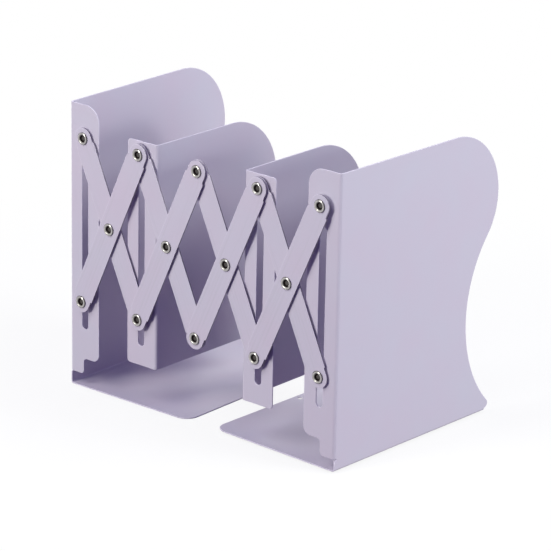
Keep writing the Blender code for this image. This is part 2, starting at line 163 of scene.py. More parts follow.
class Wiring:
    """Adds nodes and links to one node tree."""

    def __init__(self, tree: bpy.types.NodeTree) -> None:
        """Work on a node tree."""
        self.tree = tree

    def node(
        self,
        kind: str,
        feeds: dict[str | int, object] | None = None,
        **settings: object,
    ) -> bpy.types.Node:
        """Add a node.

        Args:
            kind: Blender's name of the node type.
            feeds: a value or another node's socket for inputs, by name or place.
            settings: attributes of the node itself.

        Returns:
            The new node.
        """
        made = self.tree.nodes.new(kind)
        for name, value in settings.items():
            setattr(made, name, value)
        for key, value in (feeds or {}).items():
            self.feed(made.inputs[key], value)
        return made

    def feed(self, socket: bpy.types.NodeSocket, value: object) -> None:
        """Give an input a value or a link.

        Args:
            socket: the input.
            value: another node's output, or a plain value.
        """
        if isinstance(value, bpy.types.NodeSocket):
            self.tree.links.new(value, socket)
        else:
            socket.default_value = value

    def math(self, operation: str, first: object, second: object = 0.0) -> bpy.types.NodeSocket:
        """Result of a Math node, from Blender's name of the operation and its operands."""
        return self.node("ShaderNodeMath", {0: first, 1: second}, operation=operation).outputs[0]

    def vector(self, x: object = 0.0, y: object = 0.0, z: object = 0.0) -> bpy.types.NodeSocket:
        """Vector put together from three numbers."""
        return self.node("ShaderNodeCombineXYZ", {0: x, 1: y, 2: z}).outputs[0]

    def half(self, value: object) -> bpy.types.NodeSocket:
        """Half of a number."""
        return self.math("MULTIPLY", value, 0.5)

    def less(self, value: object) -> bpy.types.NodeSocket:
        """Number with its sign changed."""
        return self.math("MULTIPLY", value, -1.0)

    def clamped(self, value: object) -> bpy.types.NodeSocket:
        """Number held between 0 and 1."""
        return self.node("ShaderNodeClamp", {"Value": value}).outputs[0]

    def ramp(
        self,
        value: object,
        low: object,
        high: object,
        first: float = 0.0,
        last: float = 1.0,
    ) -> bpy.types.NodeSocket:
        """Number that goes evenly from first to last while the value goes from low to high."""
        feeds = {"Value": value, "From Min": low, "From Max": high, "To Min": first, "To Max": last}
        return self.node("ShaderNodeMapRange", feeds).outputs[0]

    def noise(
        self,
        place: object,
        scale: object,
        detail: float,
        roughness: float,
    ) -> bpy.types.NodeSocket:
        """Value of a noise texture at a place."""
        feeds = {"Vector": place, "Scale": scale, "Detail": detail, "Roughness": roughness}
        return self.node("ShaderNodeTexNoise", feeds, noise_dimensions="3D").outputs[0]

    def blend(self, share: object, low: object, high: object) -> bpy.types.NodeSocket:
        """Mix of two colours.

        Args:
            share: share of the second colour.
            low: first colour, or a socket with one.
            high: second colour, or a socket with one.

        Returns:
            The mixed colour's socket.
        """
        node = self.node("ShaderNodeMix", {"Factor": share}, data_type="RGBA")
        for place, value in ((FIRST_COLOUR, low), (SECOND_COLOUR, high)):
            ready = value if isinstance(value, bpy.types.NodeSocket) else (*value, 1.0)
            self.feed(node.inputs[place], ready)
        return node.outputs[MIXED_COLOUR]


class Group(Wiring):
    """A node group under construction."""

    def __init__(self, name: str, kind: TreeKind, takes: Sequence[Port], gives: Sequence[Port]) -> None:
        """Open the group.

        Args:
            name: name of the group.
            kind: shape or shader group.
            takes: its input sockets.
            gives: its output sockets.
        """
        super().__init__(bpy.data.node_groups.new(name, kind.value))
        for way, ports in (("INPUT", takes), ("OUTPUT", gives)):
            for port in ports:
                self.tree.interface.new_socket(port.name, in_out=way, socket_type=port.kind.value)
        self.source = self.tree.nodes.new("NodeGroupInput")
        self.target = self.tree.nodes.new("NodeGroupOutput")

    def given(self, name: str) -> bpy.types.NodeSocket:
        """Socket that carries one of the group's inputs."""
        return self.source.outputs[name]

    def passed(self, *names: str) -> dict[str, bpy.types.NodeSocket]:
        """Inputs of the group by name, for another group placed in it."""
        return {name: self.given(name) for name in names}

    def give(self, name: str, value: object) -> None:
        """Feed one of the group's outputs."""
        self.feed(self.target.inputs[name], value)


class ShapeGroup(Group):
    """A geometry group, with the steps that several of the shapes share."""

    def __init__(self, name: str, takes: Sequence[Port], gives: Sequence[Port] | None = None) -> None:
        """Open a geometry group, which gives one geometry where no outputs are named."""
        super().__init__(name, TreeKind.SHAPE, takes, gives or [Port("Geometry", PortKind.GEOMETRY)])

    def inner(self, group: Group, feeds: dict[str | int, object]) -> bpy.types.NodeSocket:
        """Place another group in this one.

        Args:
            group: the group to place.
            feeds: values or sockets for its inputs.

        Returns:
            Its first output.
        """
        made = self.tree.nodes.new("GeometryNodeGroup")
        made.node_tree = group.tree
        for key, value in feeds.items():
            self.feed(made.inputs[key], value)
        return made.outputs[0]

    def coordinates(self) -> Sequence[bpy.types.NodeSocket]:
        """The three coordinates of each point."""
        position = self.node("GeometryNodeInputPosition").outputs[0]
        return self.node("ShaderNodeSeparateXYZ", {0: position}).outputs

    def either(self, switch: object, low: object, high: object) -> bpy.types.NodeSocket:
        """The low number where the switch is 0, and the high one where it is 1."""
        feeds = {"Factor": switch, "A": low, "B": high}
        return self.node("ShaderNodeMix", feeds, data_type="FLOAT").outputs["Result"]

    def choice(self, kind: str, values: Sequence[object]) -> bpy.types.NodeSocket:
        """Value that depends on a point's place in the row.

        Args:
            kind: data type of the values.
            values: one value for each point.

        Returns:
            The chosen value's socket.
        """
        switch = self.node("GeometryNodeIndexSwitch", data_type=kind)
        while len(switch.index_switch_items) < len(values):
            switch.index_switch_items.new()
        self.feed(switch.inputs["Index"], self.node("GeometryNodeInputIndex").outputs[0])
        for place, value in enumerate(values):
            self.feed(switch.inputs[str(place)], value)
        return switch.outputs[0]

    def outline(
        self,
        corners: Sequence[tuple[object, object, object, int]],
        closed: bool,
    ) -> bpy.types.NodeSocket:
        """Curve through corners, each rounded by its own radius.

        Args:
            corners: x, y, radius and facets of each corner.
            closed: whether the curve returns to its first corner.

        Returns:
            The curve's socket.
        """
        if closed:
            feeds = {"Resolution": len(corners)}
            start = self.node("GeometryNodeCurvePrimitiveCircle", feeds).outputs[0]
        else:
            line = self.node("GeometryNodeCurvePrimitiveLine").outputs[0]
            feeds = {"Curve": line, "Count": len(corners)}
            start = self.node("GeometryNodeResampleCurve", feeds, mode="COUNT").outputs[0]
        places = self.choice("VECTOR", [self.vector(x, y) for x, y, _, _ in corners])
        drawn = self.node("GeometryNodeSetPosition", {"Geometry": start, "Position": places}).outputs[0]
        feeds = {
            "Curve": drawn,
            "Radius": self.choice("FLOAT", [radius for _, _, radius, _ in corners]),
            "Count": self.choice("INT", [facets for _, _, _, facets in corners]),
            "Limit Radius": True,
        }
        return self.node("GeometryNodeFilletCurve", feeds, mode="POLY").outputs[0]

    def marked(
        self,
        geometry: object,
        name: str,
        value: object,
        kind: str = "FLOAT",
    ) -> bpy.types.NodeSocket:
        """Store a number or a vector on every point.

        Args:
            geometry: geometry to mark.
            name: name of the attribute.
            value: the number or vector.
            kind: data type of the attribute.

        Returns:
            The marked geometry's socket.
        """
        store = self.node("GeometryNodeStoreNamedAttribute", data_type=kind, domain="POINT")
        self.feed(store.inputs["Geometry"], geometry)
        self.feed(store.inputs["Name"], name)
        self.feed(store.inputs["Value"], value)
        return store.outputs[0]

    def moved(self, geometry: object, shift: object) -> bpy.types.NodeSocket:
        """Geometry shifted by a vector."""
        feeds = {"Geometry": geometry, "Translation": shift}
        return self.node("GeometryNodeTransform", feeds).outputs[0]

    def joined(self, pieces: Sequence[object]) -> bpy.types.NodeSocket:
        """Several geometries as one.

        Args:
            pieces: the geometries.

        Returns:
            The joined geometry's socket.
        """
        join = self.node("GeometryNodeJoinGeometry")
        for piece in pieces:
            self.feed(join.inputs[0], piece)
        return join.outputs[0]

    def give_welded(self, geometry: object) -> None:
        """Give out a geometry with its doubled points merged."""
        feeds = {"Geometry": geometry, "Distance": self.given("Weld")}
        self.give("Geometry", self.node("GeometryNodeMergeByDistance", feeds).outputs[0])

    def give_finished(self, geometry: object) -> None:
        """Give out a geometry as real faces in the finish that the group takes.

        Args:
            geometry: the geometry.
        """
        real = self.node("GeometryNodeRealizeInstances", {"Geometry": geometry}).outputs[0]
        feeds = {"Geometry": real, "Material": self.given("Finish")}
        self.give("Geometry", self.node("GeometryNodeSetMaterial", feeds).outputs[0])


@dataclass(frozen=True)
class Stock:
    """Sheet metal, its rounded rims and the clearances of the stack."""

    sheet: float = 0.8 * MM
    bar_sheet: float = 1.0 * MM
    bend_inside: float = 1.0 * MM
    bend_facets: int = 14
    bend_band: float = 0.3 * MM
    rim_radius: float = 0.2 * MM
    rim_band: float = 0.15 * MM
    rim_facets: int = 4
    chord_gap: float = 0.004 * MM
    weld: float = 0.001 * MM
    seat_gap: float = 0.25 * MM
    shank_gap: float = 0.3 * MM
    pass_gap: float = 0.3 * MM

    @property
    def bend_radius(self) -> float:
        """Radius of a bend's outer face."""
        return self.bend_inside + self.sheet

    @property
    def base_raise(self) -> float:
        """Height of the right base above the surface."""
        return self.sheet + self.pass_gap


@dataclass(frozen=True)
class Linkage:
    """Where the pivots of the scissor linkage lie at the opening of the frame."""

    stock: Stock
    bays: int = 4
    pitch: float = 49.2 * MM
    plate_height: float = 190.0 * MM
    plate_depth: float = 150.0 * MM
    splay: float = math.radians(1.4)
    flange_width: float = 25.0 * MM
    top_row_inset: float = 21.6 * MM
    end_inset: float = 12.9 * MM
    divider_inset: float = 13.1 * MM
    close_gap: float = 0.6 * MM
    slot_foot: float = 43.0 * MM
    slot_runout: float = 9.0 * MM
    least_drop: float = 16.5 * MM
    washer: float = 0.4 * MM
    ring_height: float = 0.85 * MM
    shank_radius: float = 2.35 * MM

    @property
    def hole_radius(self) -> float:
        """Radius of the pivot holes and half the width of the slots."""
        return self.shank_radius + self.stock.shank_gap

    @property
    def top_row(self) -> float:
        """Height of the upper pivots."""
        return self.plate_height - self.top_row_inset

    @property
    def most_drop(self) -> float:
        """Distance between the rows when the bookend is closed."""
        return self.top_row - self.slot_foot - self.slot_runout

    @property
    def reach(self) -> float:
        """Distance between the end pivots of a bar."""
        closed_pitch = 2 * self.flange_width - self.end_inset - self.divider_inset + self.close_gap
        return math.hypot(self.most_drop, closed_pitch)

    @property
    def lean(self) -> float:
        """Angle between a bar and the upright."""
        return math.asin(self.pitch / self.reach)

    @property
    def drop(self) -> float:
        """Distance between the rows at this opening."""
        return self.reach * math.cos(self.lean)

    @property
    def width(self) -> float:
        """Distance between the outer faces of the end plates at the front."""
        return 2 * self.end_inset + self.bays * self.pitch

    @property
    def layers(self) -> dict[str, float]:
        """Faces of the stack.

        Returns:
            Distances in front of the flanges, by the name of the face.
        """
        gap = self.stock.seat_gap
        back_rear = 2 * gap + self.washer
        back_front = back_rear + self.stock.bar_sheet
        front_rear = back_front + 2 * gap + self.washer
        front_front = front_rear + self.stock.bar_sheet
        return {
            "flange_rear": -self.stock.sheet,
            "back_rear": back_rear,
            "back_front": back_front,
            "front_rear": front_rear,
            "front_front": front_front,
            "stack_front": front_front + gap + self.ring_height,
        }

    @property
    def flange_front(self) -> float:
        """Place of the flanges' front face on Y."""
        reach_back = self.plate_depth * math.cos(self.splay) + self.stock.sheet * math.sin(self.splay)
        return (self.layers["stack_front"] - reach_back) / 2

    def height(self, row: Row) -> float:
        """Height of a row of pivots."""
        shares = {Row.TOP: 0.0, Row.MIDDLE: 0.5, Row.BOTTOM: 1.0}
        return self.top_row - shares[row] * self.drop

    def pivot(self, column: float, row: Row) -> Vector:
        """Place of a pivot on the flanges' front face. A crossing lies at half a column."""
        x = self.end_inset + column * self.pitch - self.width / 2
        return Vector((x, self.flange_front, self.height(row)))


def arc(centre: Vector, radius: float, start: float, end: float, chord_gap: float) -> list[Vector]:
    """Points from one angle to another.

    Args:
        centre: middle of the arc.
        radius: its radius.
        start: first angle.
        end: last angle.
        chord_gap: how far a facet may lie inside the true arc.

    Returns:
        The points, both ends among them.
    """
    widest = 2 * math.acos(1 - chord_gap / max(radius, chord_gap))
    count = max(LEAST_FACETS, math.ceil(abs(end - start) / widest))
    angles = [start + (end - start) * step / count for step in range(count + 1)]
    return [centre + Vector((math.cos(angle), math.sin(angle))) * radius for angle in angles]


def rounded(corners: Sequence[tuple[float, float, float]], chord_gap: float) -> list[Vector]:
    """Outline through corners, each rounded by its own radius.

    Args:
        corners: x, y and radius of each corner.
        chord_gap: how far a facet may lie inside the true arc.

    Returns:
        The closed outline's points.
    """
    outline = []
    for index, (x, y, radius) in enumerate(corners):
        corner = Vector((x, y))
        if not radius:
            outline.append(corner)
            continue
        following = corners[(index + 1) % len(corners)]
        before = (Vector(corners[index - 1][:2]) - corner).normalized()
        after = (Vector(following[:2]) - corner).normalized()
        half = before.angle(after) / 2
        centre = corner + (before + after).normalized() * radius / math.sin(half)
        first = corner + before * radius / math.tan(half) - centre
        last = corner + after * radius / math.tan(half) - centre
        start = math.atan2(first.y, first.x)
        turn = math.atan2(first.cross(last), first.dot(last))
        outline += arc(centre, radius, start, start + turn, chord_gap)
    return outline


def outline_curve(
    name: str,
    rim: Sequence[Vector],
    holes: Sequence[Sequence[Vector]],
) -> bpy.types.Object:
    """Curve object whose rim runs one way round and whose holes run the other way.

    Args:
        name: name of the object.
        rim: points of the outer outline.
        holes: points of each hole.

    Returns:
        The object, linked to the scene.
    """
    curve = bpy.data.curves.new(name, "CURVE")
    curve.dimensions = "3D"
    for number, outline in enumerate([rim, *holes]):
        ahead = [*outline[1:], outline[0]]
        area = sum(first.cross(second) for first, second in zip(outline, ahead))
        points = list(outline) if (area > 0) == (number == 0) else list(reversed(outline))
        spline = curve.splines.new("POLY")
        spline.points.add(len(points) - 1)
        for point, place in zip(spline.points, points):
            point.co = (place.x, place.y, 0, 1)
        spline.use_cyclic_u = True
    item = bpy.data.objects.new(name, curve)
    bpy.context.scene.collection.objects.link(item)
    return item


def point_object(name: str, places: Sequence[Vector]) -> bpy.types.Object:
    """Object whose mesh is a few loose points.

    Args:
        name: name of the object.
        places: the points.

    Returns:
        The object, linked to the scene.
    """
    mesh = bpy.data.meshes.new(name)
    mesh.from_pydata([tuple(place) for place in places], [], [])
    item = bpy.data.objects.new(name, mesh)
    bpy.context.scene.collection.objects.link(item)
    return item


def formed(item: bpy.types.Object, group: Group, values: dict[str, object]) -> bpy.types.Object:
    """Run a shape group on an object and keep the result as a plain mesh.

    Args:
        item: object that holds the group's first input. It is removed.
        group: the shape group.
        values: the group's other inputs, by name.

    Returns:
        A new mesh object of the same name.
    """
    name = item.name
    modifier = item.modifiers.new(group.tree.name, "NODES")
    modifier.node_group = group.tree
    sockets = [socket for socket in group.tree.interface.items_tree if socket.item_type == "SOCKET"]
    names = {socket.name: socket.identifier for socket in sockets if socket.in_out == "INPUT"}
    for key, value in values.items():
        modifier[names[key]] = value
    depsgraph = bpy.context.evaluated_depsgraph_get()
    ready = item.evaluated_get(depsgraph)
    mesh = bpy.data.meshes.new_from_object(ready, preserve_all_data_layers=True, depsgraph=depsgraph)
    item.modifiers.remove(modifier)
    bpy.data.objects.remove(item)
    mesh.name = name
    mesh.materials.clear()
    mesh.materials.append(values["Finish"])
    made = bpy.data.objects.new(name, mesh)
    bpy.context.scene.collection.objects.link(made)
    for face in mesh.polygons:
        face.use_smooth = True
        face.material_index = 0
    return made


class Shapes:
    """Geometry groups of the bookend's pieces, each built once."""

    def __init__(self) -> None:
        """Build every group."""
        self.sheet = self._sheet_group()
        self.turned = self._turned_group()
        self.seated = self._seated_group()
        self.bend = self._bend_group()
        self.plate = self._plate_group()
        self.fold = self._fold_group()
        self.bar = self._bar_group()
        self.rivet = self._rivet_group()
        self.washer = self._washer_group()

    def _sheet_group(self) -> ShapeGroup:
        """Flat sheet with rounded rims, made from its outlines.

        Returns:
            The group.
        """
        group = ShapeGroup("Rounded sheet", SHEET_PORTS)
        radius = group.given("Rim Radius")
        facets = group.given("Rim Facets")
        half = group.half(group.given("Thickness"))
        inset = group.math("ADD", radius, group.given("Rim Band"))
        feeds = {"Curve": group.given("Outlines")}
        upright = group.node("GeometryNodeSetCurveNormal", feeds, mode="Z_UP").outputs[0]
        section = group.outline(
            [
                (group.less(inset), group.less(half), 0.0, 1),
                (0.0, group.less(half), radius, facets),
                (0.0, half, radius, facets),
                (group.less(inset), half, 0.0, 1),
            ],
            closed=False,
        )
        across, up, _ = group.coordinates()
        within = group.math("ADD", radius, group.half(group.given("Rim Band")))
        on_rim = group.math("GREATER_THAN", across, group.less(within))
        section = group.marked(section, RIM, on_rim)
        # Cut mark: the flat side of each rim. On the bars the coat paints shade there, for the shadow
        # in the gaps of the stack.
        flat_end = group.math("SUBTRACT", half, group.half(radius))
        on_side = group.math("LESS_THAN", group.math("ABSOLUTE", up), flat_end)
        on_side = group.math("MULTIPLY", on_side, on_rim)
        section = group.marked(section, CUT, on_side)
        feeds = {"Curve": upright, "Profile Curve": section}
        rim = group.node("GeometryNodeCurveToMesh", feeds).outputs[0]
        normal = group.node("GeometryNodeInputNormal").outputs[0]
        feeds = {0: normal, "Scale": group.less(inset)}
        inward = group.node("ShaderNodeVectorMath", feeds, operation="SCALE").outputs[0]
        feeds = {"Geometry": upright, "Offset": inward}
        inner = group.node("GeometryNodeSetPosition", feeds).outputs[0]
        face = group.node("GeometryNodeFillCurve", {"Curve": inner}, mode="TRIANGLES").outputs[0]
        upper = group.moved(face, group.vector(z=half))
        turned_over = group.node("GeometryNodeFlipFaces", {0: face}).outputs[0]
        lower = group.moved(turned_over, group.vector(z=group.less(half)))
        group.give_welded(group.joined([rim, upper, lower]))
        return group

    def _turned_group(self) -> ShapeGroup:
        """Shape turned about Z from a profile of radius and height.

        Returns:
            The group.
        """
        group = ShapeGroup(
            "Turned",
            [
                Port("Profile", PortKind.GEOMETRY),
                Port("Rail Radius"),
                Port("Steps", PortKind.COUNT),
                Port("Weld"),
            ],
        )
        rail_radius = group.given("Rail Radius")
        feeds = {"Resolution": group.given("Steps"), "Radius": rail_radius}
        rail = group.node("GeometryNodeCurvePrimitiveCircle", feeds).outputs[0]
        rail = group.node("GeometryNodeSetCurveNormal", {"Curve": rail}, mode="Z_UP").outputs[0]
        away, level, _ = group.coordinates()
        place = group.vector(group.math("SUBTRACT", away, rail_radius), group.less(level))
        feeds = {"Geometry": group.given("Profile"), "Position": place}
        profile = group.node("GeometryNodeSetPosition", feeds).outputs[0]
        feeds = {"Curve": rail, "Profile Curve": profile}
        swept = group.node("GeometryNodeCurveToMesh", feeds).outputs[0]
        group.give_welded(group.node("GeometryNodeFlipFaces", {0: swept}).outputs[0])
        return group

    def _seated_group(self) -> ShapeGroup:
        """One shape set on every pivot of a body, as real geometry in one finish.

        Returns:
            The group.
        """
        group = ShapeGroup(
            "Seated on pivots",
            [
                Port("Pivots", PortKind.GEOMETRY),
                Port("Shape", PortKind.GEOMETRY),
                Port("Turn", PortKind.VECTOR),
                Port("Finish", PortKind.MATERIAL),
            ],
        )
        feeds = {
            "Points": group.given("Pivots"),
            "Instance": group.given("Shape"),
            "Rotation": group.given("Turn"),
        }
        group.give_finished(group.node("GeometryNodeInstanceOnPoints", feeds).outputs[0])
        return group

    def _bend_group(self) -> ShapeGroup:
        """Carries a place on the flat blank round one bend.

        Returns:
            The group.
        """
        group = ShapeGroup(
            "Bend",
            [Port("Along"), Port("Depth"), Port("Angle"), Port("Radius")],
            [Port("Across"), Port("Back")],
        )
        angle = group.given("Angle")
        radius = group.given("Radius")
        depth = group.given("Depth")
        setback = group.math("MULTIPLY", radius, group.math("TANGENT", group.half(angle)))
        past = group.math("SUBTRACT", setback, group.given("Along"))
        turned = group.math("MAXIMUM", group.math("DIVIDE", past, radius), 0.0)
        turned = group.math("MINIMUM", turned, angle)
        straight = group.math("SUBTRACT", past, group.math("MULTIPLY", radius, turned))
        arm = group.math("SUBTRACT", radius, depth)
        sine = group.math("SINE", turned)
        cosine = group.math("COSINE", turned)
        across = group.math("SUBTRACT", radius, group.math("MULTIPLY", arm, cosine))
        across = group.math("ADD", across, group.math("MULTIPLY", straight, sine))
        back = group.math("SUBTRACT", setback, group.math("MULTIPLY", arm, sine))
        back = group.math("SUBTRACT", back, group.math("MULTIPLY", straight, cosine))
        group.give("Across", across)
        group.give("Back", back)
        return group

    def _plate_group(self) -> ShapeGroup:
        """Flat blank in one finish, cut from its outlines.

        Returns:
            The group.
        """
        group = ShapeGroup("Flat blank", [*SHEET_PORTS, Port("Finish", PortKind.MATERIAL)])
        flat = group.inner(self.sheet, group.passed(*[port.name for port in SHEET_PORTS]))
        group.give_finished(group.moved(flat, group.vector(z=group.half(group.given("Thickness")))))
        return group

    def _fold_group(self) -> ShapeGroup:
        """Folds a flat blank into an upright plate with a front flange and a base.

        Returns:
            The group.
        """
        group = ShapeGroup(
            "Folded plate",
            [
                Port("Blank", PortKind.GEOMETRY),
                Port("Bend Radius"),
                Port("Flange Angle"),
                Port("Base Angle"),
                Port("Base Top"),
                Port("Floor"),
                Port("Pivot Inset"),
                Port("Pivot Height"),
                Port("Side"),
                Port("Pivot", PortKind.VECTOR),
                Port("Finish", PortKind.MATERIAL),
            ],
        )
        back, height, depth = group.coordinates()
        radius = group.given("Bend Radius")
        floor = group.given("Floor")
        flange_angle = group.given("Flange Angle")
        base_angle = group.given("Base Angle")
        feeds = {"Along": back, "Depth": depth, "Angle": flange_angle, "Radius": radius}
        flange_across = group.inner(self.bend, feeds)
        flange_back = flange_across.node.outputs[1]
        above_floor = group.math("SUBTRACT", height, floor)
        feeds = {"Along": above_floor, "Depth": depth, "Angle": base_angle, "Radius": radius}
        base_across = group.inner(self.bend, feeds)
        base_height = group.math("ADD", base_across.node.outputs[1], floor)
        upper = group.math("GREATER_THAN", height, group.given("Base Top"))
        across = group.either(upper, base_across, flange_across)
        back = group.either(upper, back, flange_back)
        height = group.either(upper, base_height, height)
        opening = group.math("SUBTRACT", RIGHT_ANGLE, flange_angle)
        sine = group.math("SINE", opening)
        cosine = group.math("COSINE", opening)
        inward = group.math("MULTIPLY", back, sine)
        x = group.math("SUBTRACT", group.math("MULTIPLY", across, cosine), inward)
        sideways = group.math("MULTIPLY", across, sine)
        y = group.math("ADD", sideways, group.math("MULTIPLY", back, cosine))
        x = group.math("SUBTRACT", x, group.given("Pivot Inset"))
        x = group.math("MULTIPLY", x, group.given("Side"))
        z = group.math("SUBTRACT", height, group.given("Pivot Height"))
        feeds = {"Geometry": group.given("Blank"), "Position": group.vector(x, y, z)}
        folded = group.node("GeometryNodeSetPosition", feeds).outputs[0]
        placed = group.moved(folded, group.given("Pivot"))
        mirrored = group.math("LESS_THAN", group.given("Side"), 0.0)
        feeds = {"Mesh": placed, "Selection": mirrored}
        group.give_finished(group.node("GeometryNodeFlipFaces", feeds).outputs[0])
        return group

    def _bar_group(self) -> ShapeGroup:
        """Linkage bar with three pivot holes and narrower round ends.

        Returns:
            The group.
        """
        group = ShapeGroup(
            "Linkage bar",
            [
                Port("Pivots", PortKind.GEOMETRY),
                Port("Reach"),
                Port("Width"),
                Port("Tab Radius"),
                Port("Tab Round Share"),
                Port("Shoulder"),
                Port("Shoulder Radius"),
                Port("Hole Radius"),
                Port("First Pivot"),
                Port("Run Shift"),
                Port("Rear"),
                Port("Thickness"),
                Port("Rim Radius"),
                Port("Rim Band"),
                Port("Rim Facets", PortKind.COUNT),
                Port("Tab Facets", PortKind.COUNT),
                Port("Hole Facets", PortKind.COUNT),
                Port("Weld"),
                Port("Turn", PortKind.VECTOR),
                Port("Finish", PortKind.MATERIAL),
            ],
        )
        middle = group.half(group.given("Reach"))
        side = group.half(group.given("Width"))
        tab = group.given("Tab Radius")
        step = group.math("SUBTRACT", middle, group.given("Shoulder"))
        end = group.math("ADD", middle, tab)
        round_end = group.math("MULTIPLY", tab, group.given("Tab Round Share"))
        small = group.given("Shoulder Radius")
        facets = group.given("Tab Facets")
        few = group.given("Rim Facets")
        right = [
            (step, group.less(side), small, few),
            (step, group.less(tab), small, few),
            (end, group.less(tab), round_end, facets),
            (end, tab, round_end, facets),
            (step, tab, small, few),
            (step, side, small, few),
        ]
        left = [(group.less(x), group.less(y), radius, count) for x, y, radius, count in right]
        rim = group.outline(right + left, closed=True)
        feeds = {"Resolution": group.given("Hole Facets"), "Radius": group.given("Hole Radius")}
        ring = group.node("GeometryNodeCurvePrimitiveCircle", feeds).outputs[0]
        ring = group.node("GeometryNodeReverseCurve", {"Curve": ring}).outputs[0]
        holes = [group.moved(ring, group.vector(x=x)) for x in (group.less(middle), 0.0, middle)]
        passed = group.passed("Thickness", "Rim Radius", "Rim Band", "Rim Facets", "Weld")
        flat = group.inner(self.sheet, {"Outlines": group.joined([rim, *holes]), **passed})
        along = group.math("ADD", middle, group.given("First Pivot"))
        forward = group.math("ADD", group.given("Rear"), group.half(group.given("Thickness")))
        position = group.node("GeometryNodeInputPosition").outputs[0]
        shift = group.vector(z=group.given("Run Shift"))
        shifted = group.node("ShaderNodeVectorMath", {0: position, 1: shift}).outputs[0]
        flat = group.marked(flat, RUN, shifted, "FLOAT_VECTOR")
        flat = group.marked(flat, RUB, 1.0)
        shape = group.moved(flat, group.vector(along, 0.0, forward))
        feeds = {"Shape": shape, **group.passed("Pivots", "Turn", "Finish")}
        group.give("Geometry", group.inner(self.seated, feeds))
        return group

    def _rivet_group(self) -> ShapeGroup:
        """Tubular rivet: blind bore, rolled ring in front, shank and rear head.

        Returns:
            The group.
        """
        names = [
            "Bearing Rear",
            "Bearing Front",
            "Seat Gap",
            "Shank Radius",
            "Ring Radius",
            "Ring Height",
            "Ring Round",
            "Shoulder Share",
            "Crown Radius",
            "Crown Round",
            "Mouth Radius",
            "Mouth Lip",
            "Mouth Round",
            "Funnel Depth",
            "Bore Radius",
            "Bore Depth",
            "Bore Round",
            "Floor Share",
            "Well Share",
            "Dirt Top Share",
            "Dirt Foot Share",
            "Head Radius",
            "Head Height",
            "Head Edge",
            "Head Flat Radius",
            "Head Round",
            "Rail Radius",
            "Weld",
        ]
        group = ShapeGroup(
            "Tubular rivet",
            [
                Port("Pivots", PortKind.GEOMETRY),
                *[Port(name) for name in names],
                Port("Facets", PortKind.COUNT),
                Port("Steps", PortKind.COUNT),
                Port("Turn", PortKind.VECTOR),
                Port("Finish", PortKind.MATERIAL),
            ],
        )
        give = group.given
        facets = give("Facets")
        ring_rear = group.math("ADD", give("Bearing Front"), give("Seat Gap"))
        front = group.math("ADD", ring_rear, give("Ring Height"))
        head_front = group.math("SUBTRACT", give("Bearing Rear"), give("Seat Gap"))
        head_rear = group.math("SUBTRACT", head_front, give("Head Height"))
        bottom = group.math("SUBTRACT", front, give("Bore Depth"))
        funnel = group.math("SUBTRACT", front, give("Funnel Depth"))
        mouth = group.math("SUBTRACT", front, give("Mouth Lip"))
        straight = group.math("MULTIPLY", give("Ring Height"), give("Shoulder Share"))
        shoulder = group.math("SUBTRACT", front, straight)
        well = group.math("MULTIPLY", give("Bore Radius"), give("Well Share"))
        head_edge = group.math("SUBTRACT", head_front, give("Head Edge"))
        profile = group.outline(
            [
                (0.0, head_rear, 0.0, 1),
                (give("Head Flat Radius"), head_rear, give("Head Round"), facets),
                (give("Head Radius"), head_edge, give("Head Round"), facets),
                (give("Head Radius"), head_front, give("Mouth Round"), facets),
                (give("Shank Radius"), head_front, 0.0, 1),
                (give("Shank Radius"), ring_rear, 0.0, 1),
                (give("Ring Radius"), ring_rear, give("Mouth Round"), facets),
                (give("Ring Radius"), shoulder, give("Ring Round"), facets),
                (give("Crown Radius"), front, give("Crown Round"), facets),
                (give("Mouth Radius"), mouth, give("Mouth Round"), facets),
                (give("Bore Radius"), funnel, give("Bore Round"), facets),
                (give("Bore Radius"), bottom, give("Bore Round"), facets),
                (well, bottom, 0.0, 1),
                (0.0, bottom, 0.0, 1),
            ],
            closed=False,
        )
        away, level, _ = group.coordinates()
        # Bore mark: how far down the bore a point lies, the floor held at a set share; the plating
        # paints shade there from it.
        inside = group.math("LESS_THAN", away, give("Mouth Radius"))
        on_floor = group.math("LESS_THAN", away, group.math("ADD", well, give("Weld")))
        before = group.math("GREATER_THAN", level, ring_rear)
        below = group.math("DIVIDE", group.math("SUBTRACT", front, level), give("Bore Depth"))
        share = group.either(on_floor, group.math("MINIMUM", below, 1.0), give("Floor Share"))
        deep = group.math("MULTIPLY", inside, share)
        in_shaft = group.math("GREATER_THAN", level, group.math("SUBTRACT", bottom, give("Weld")))
        profile = group.marked(profile, BORE, group.math("MULTIPLY", deep, in_shaft))
        # Seat mark: rises down the ring's outer wall towards its foot; the plating paints shade there
        # from it, for the contact shadow on the bar.
        down = group.math("DIVIDE", group.math("SUBTRACT", front, level), give("Ring Height"))
        outer = group.math("GREATER_THAN", away, give("Shank Radius"))
        foot = group.ramp(down, give("Dirt Top Share"), give("Dirt Foot Share"))
        rising = group.math("MULTIPLY", group.math("MULTIPLY", outer, before), foot)
        profile = group.marked(profile, SEAT, rising)
        self._seat_turned(group, profile)
        return group

    def _seat_turned(self, group: ShapeGroup, profile: object) -> None:
        """Turn a profile and set the shape on every pivot.

        Args:
            group: group that the shape is for.
            profile: the profile, of radius and height.
        """
        feeds = {"Profile": profile, **group.passed("Rail Radius", "Steps", "Weld")}
        shape = group.inner(self.turned, feeds)
        feeds = {"Shape": shape, **group.passed("Pivots", "Turn", "Finish")}
        group.give("Geometry", group.inner(self.seated, feeds))

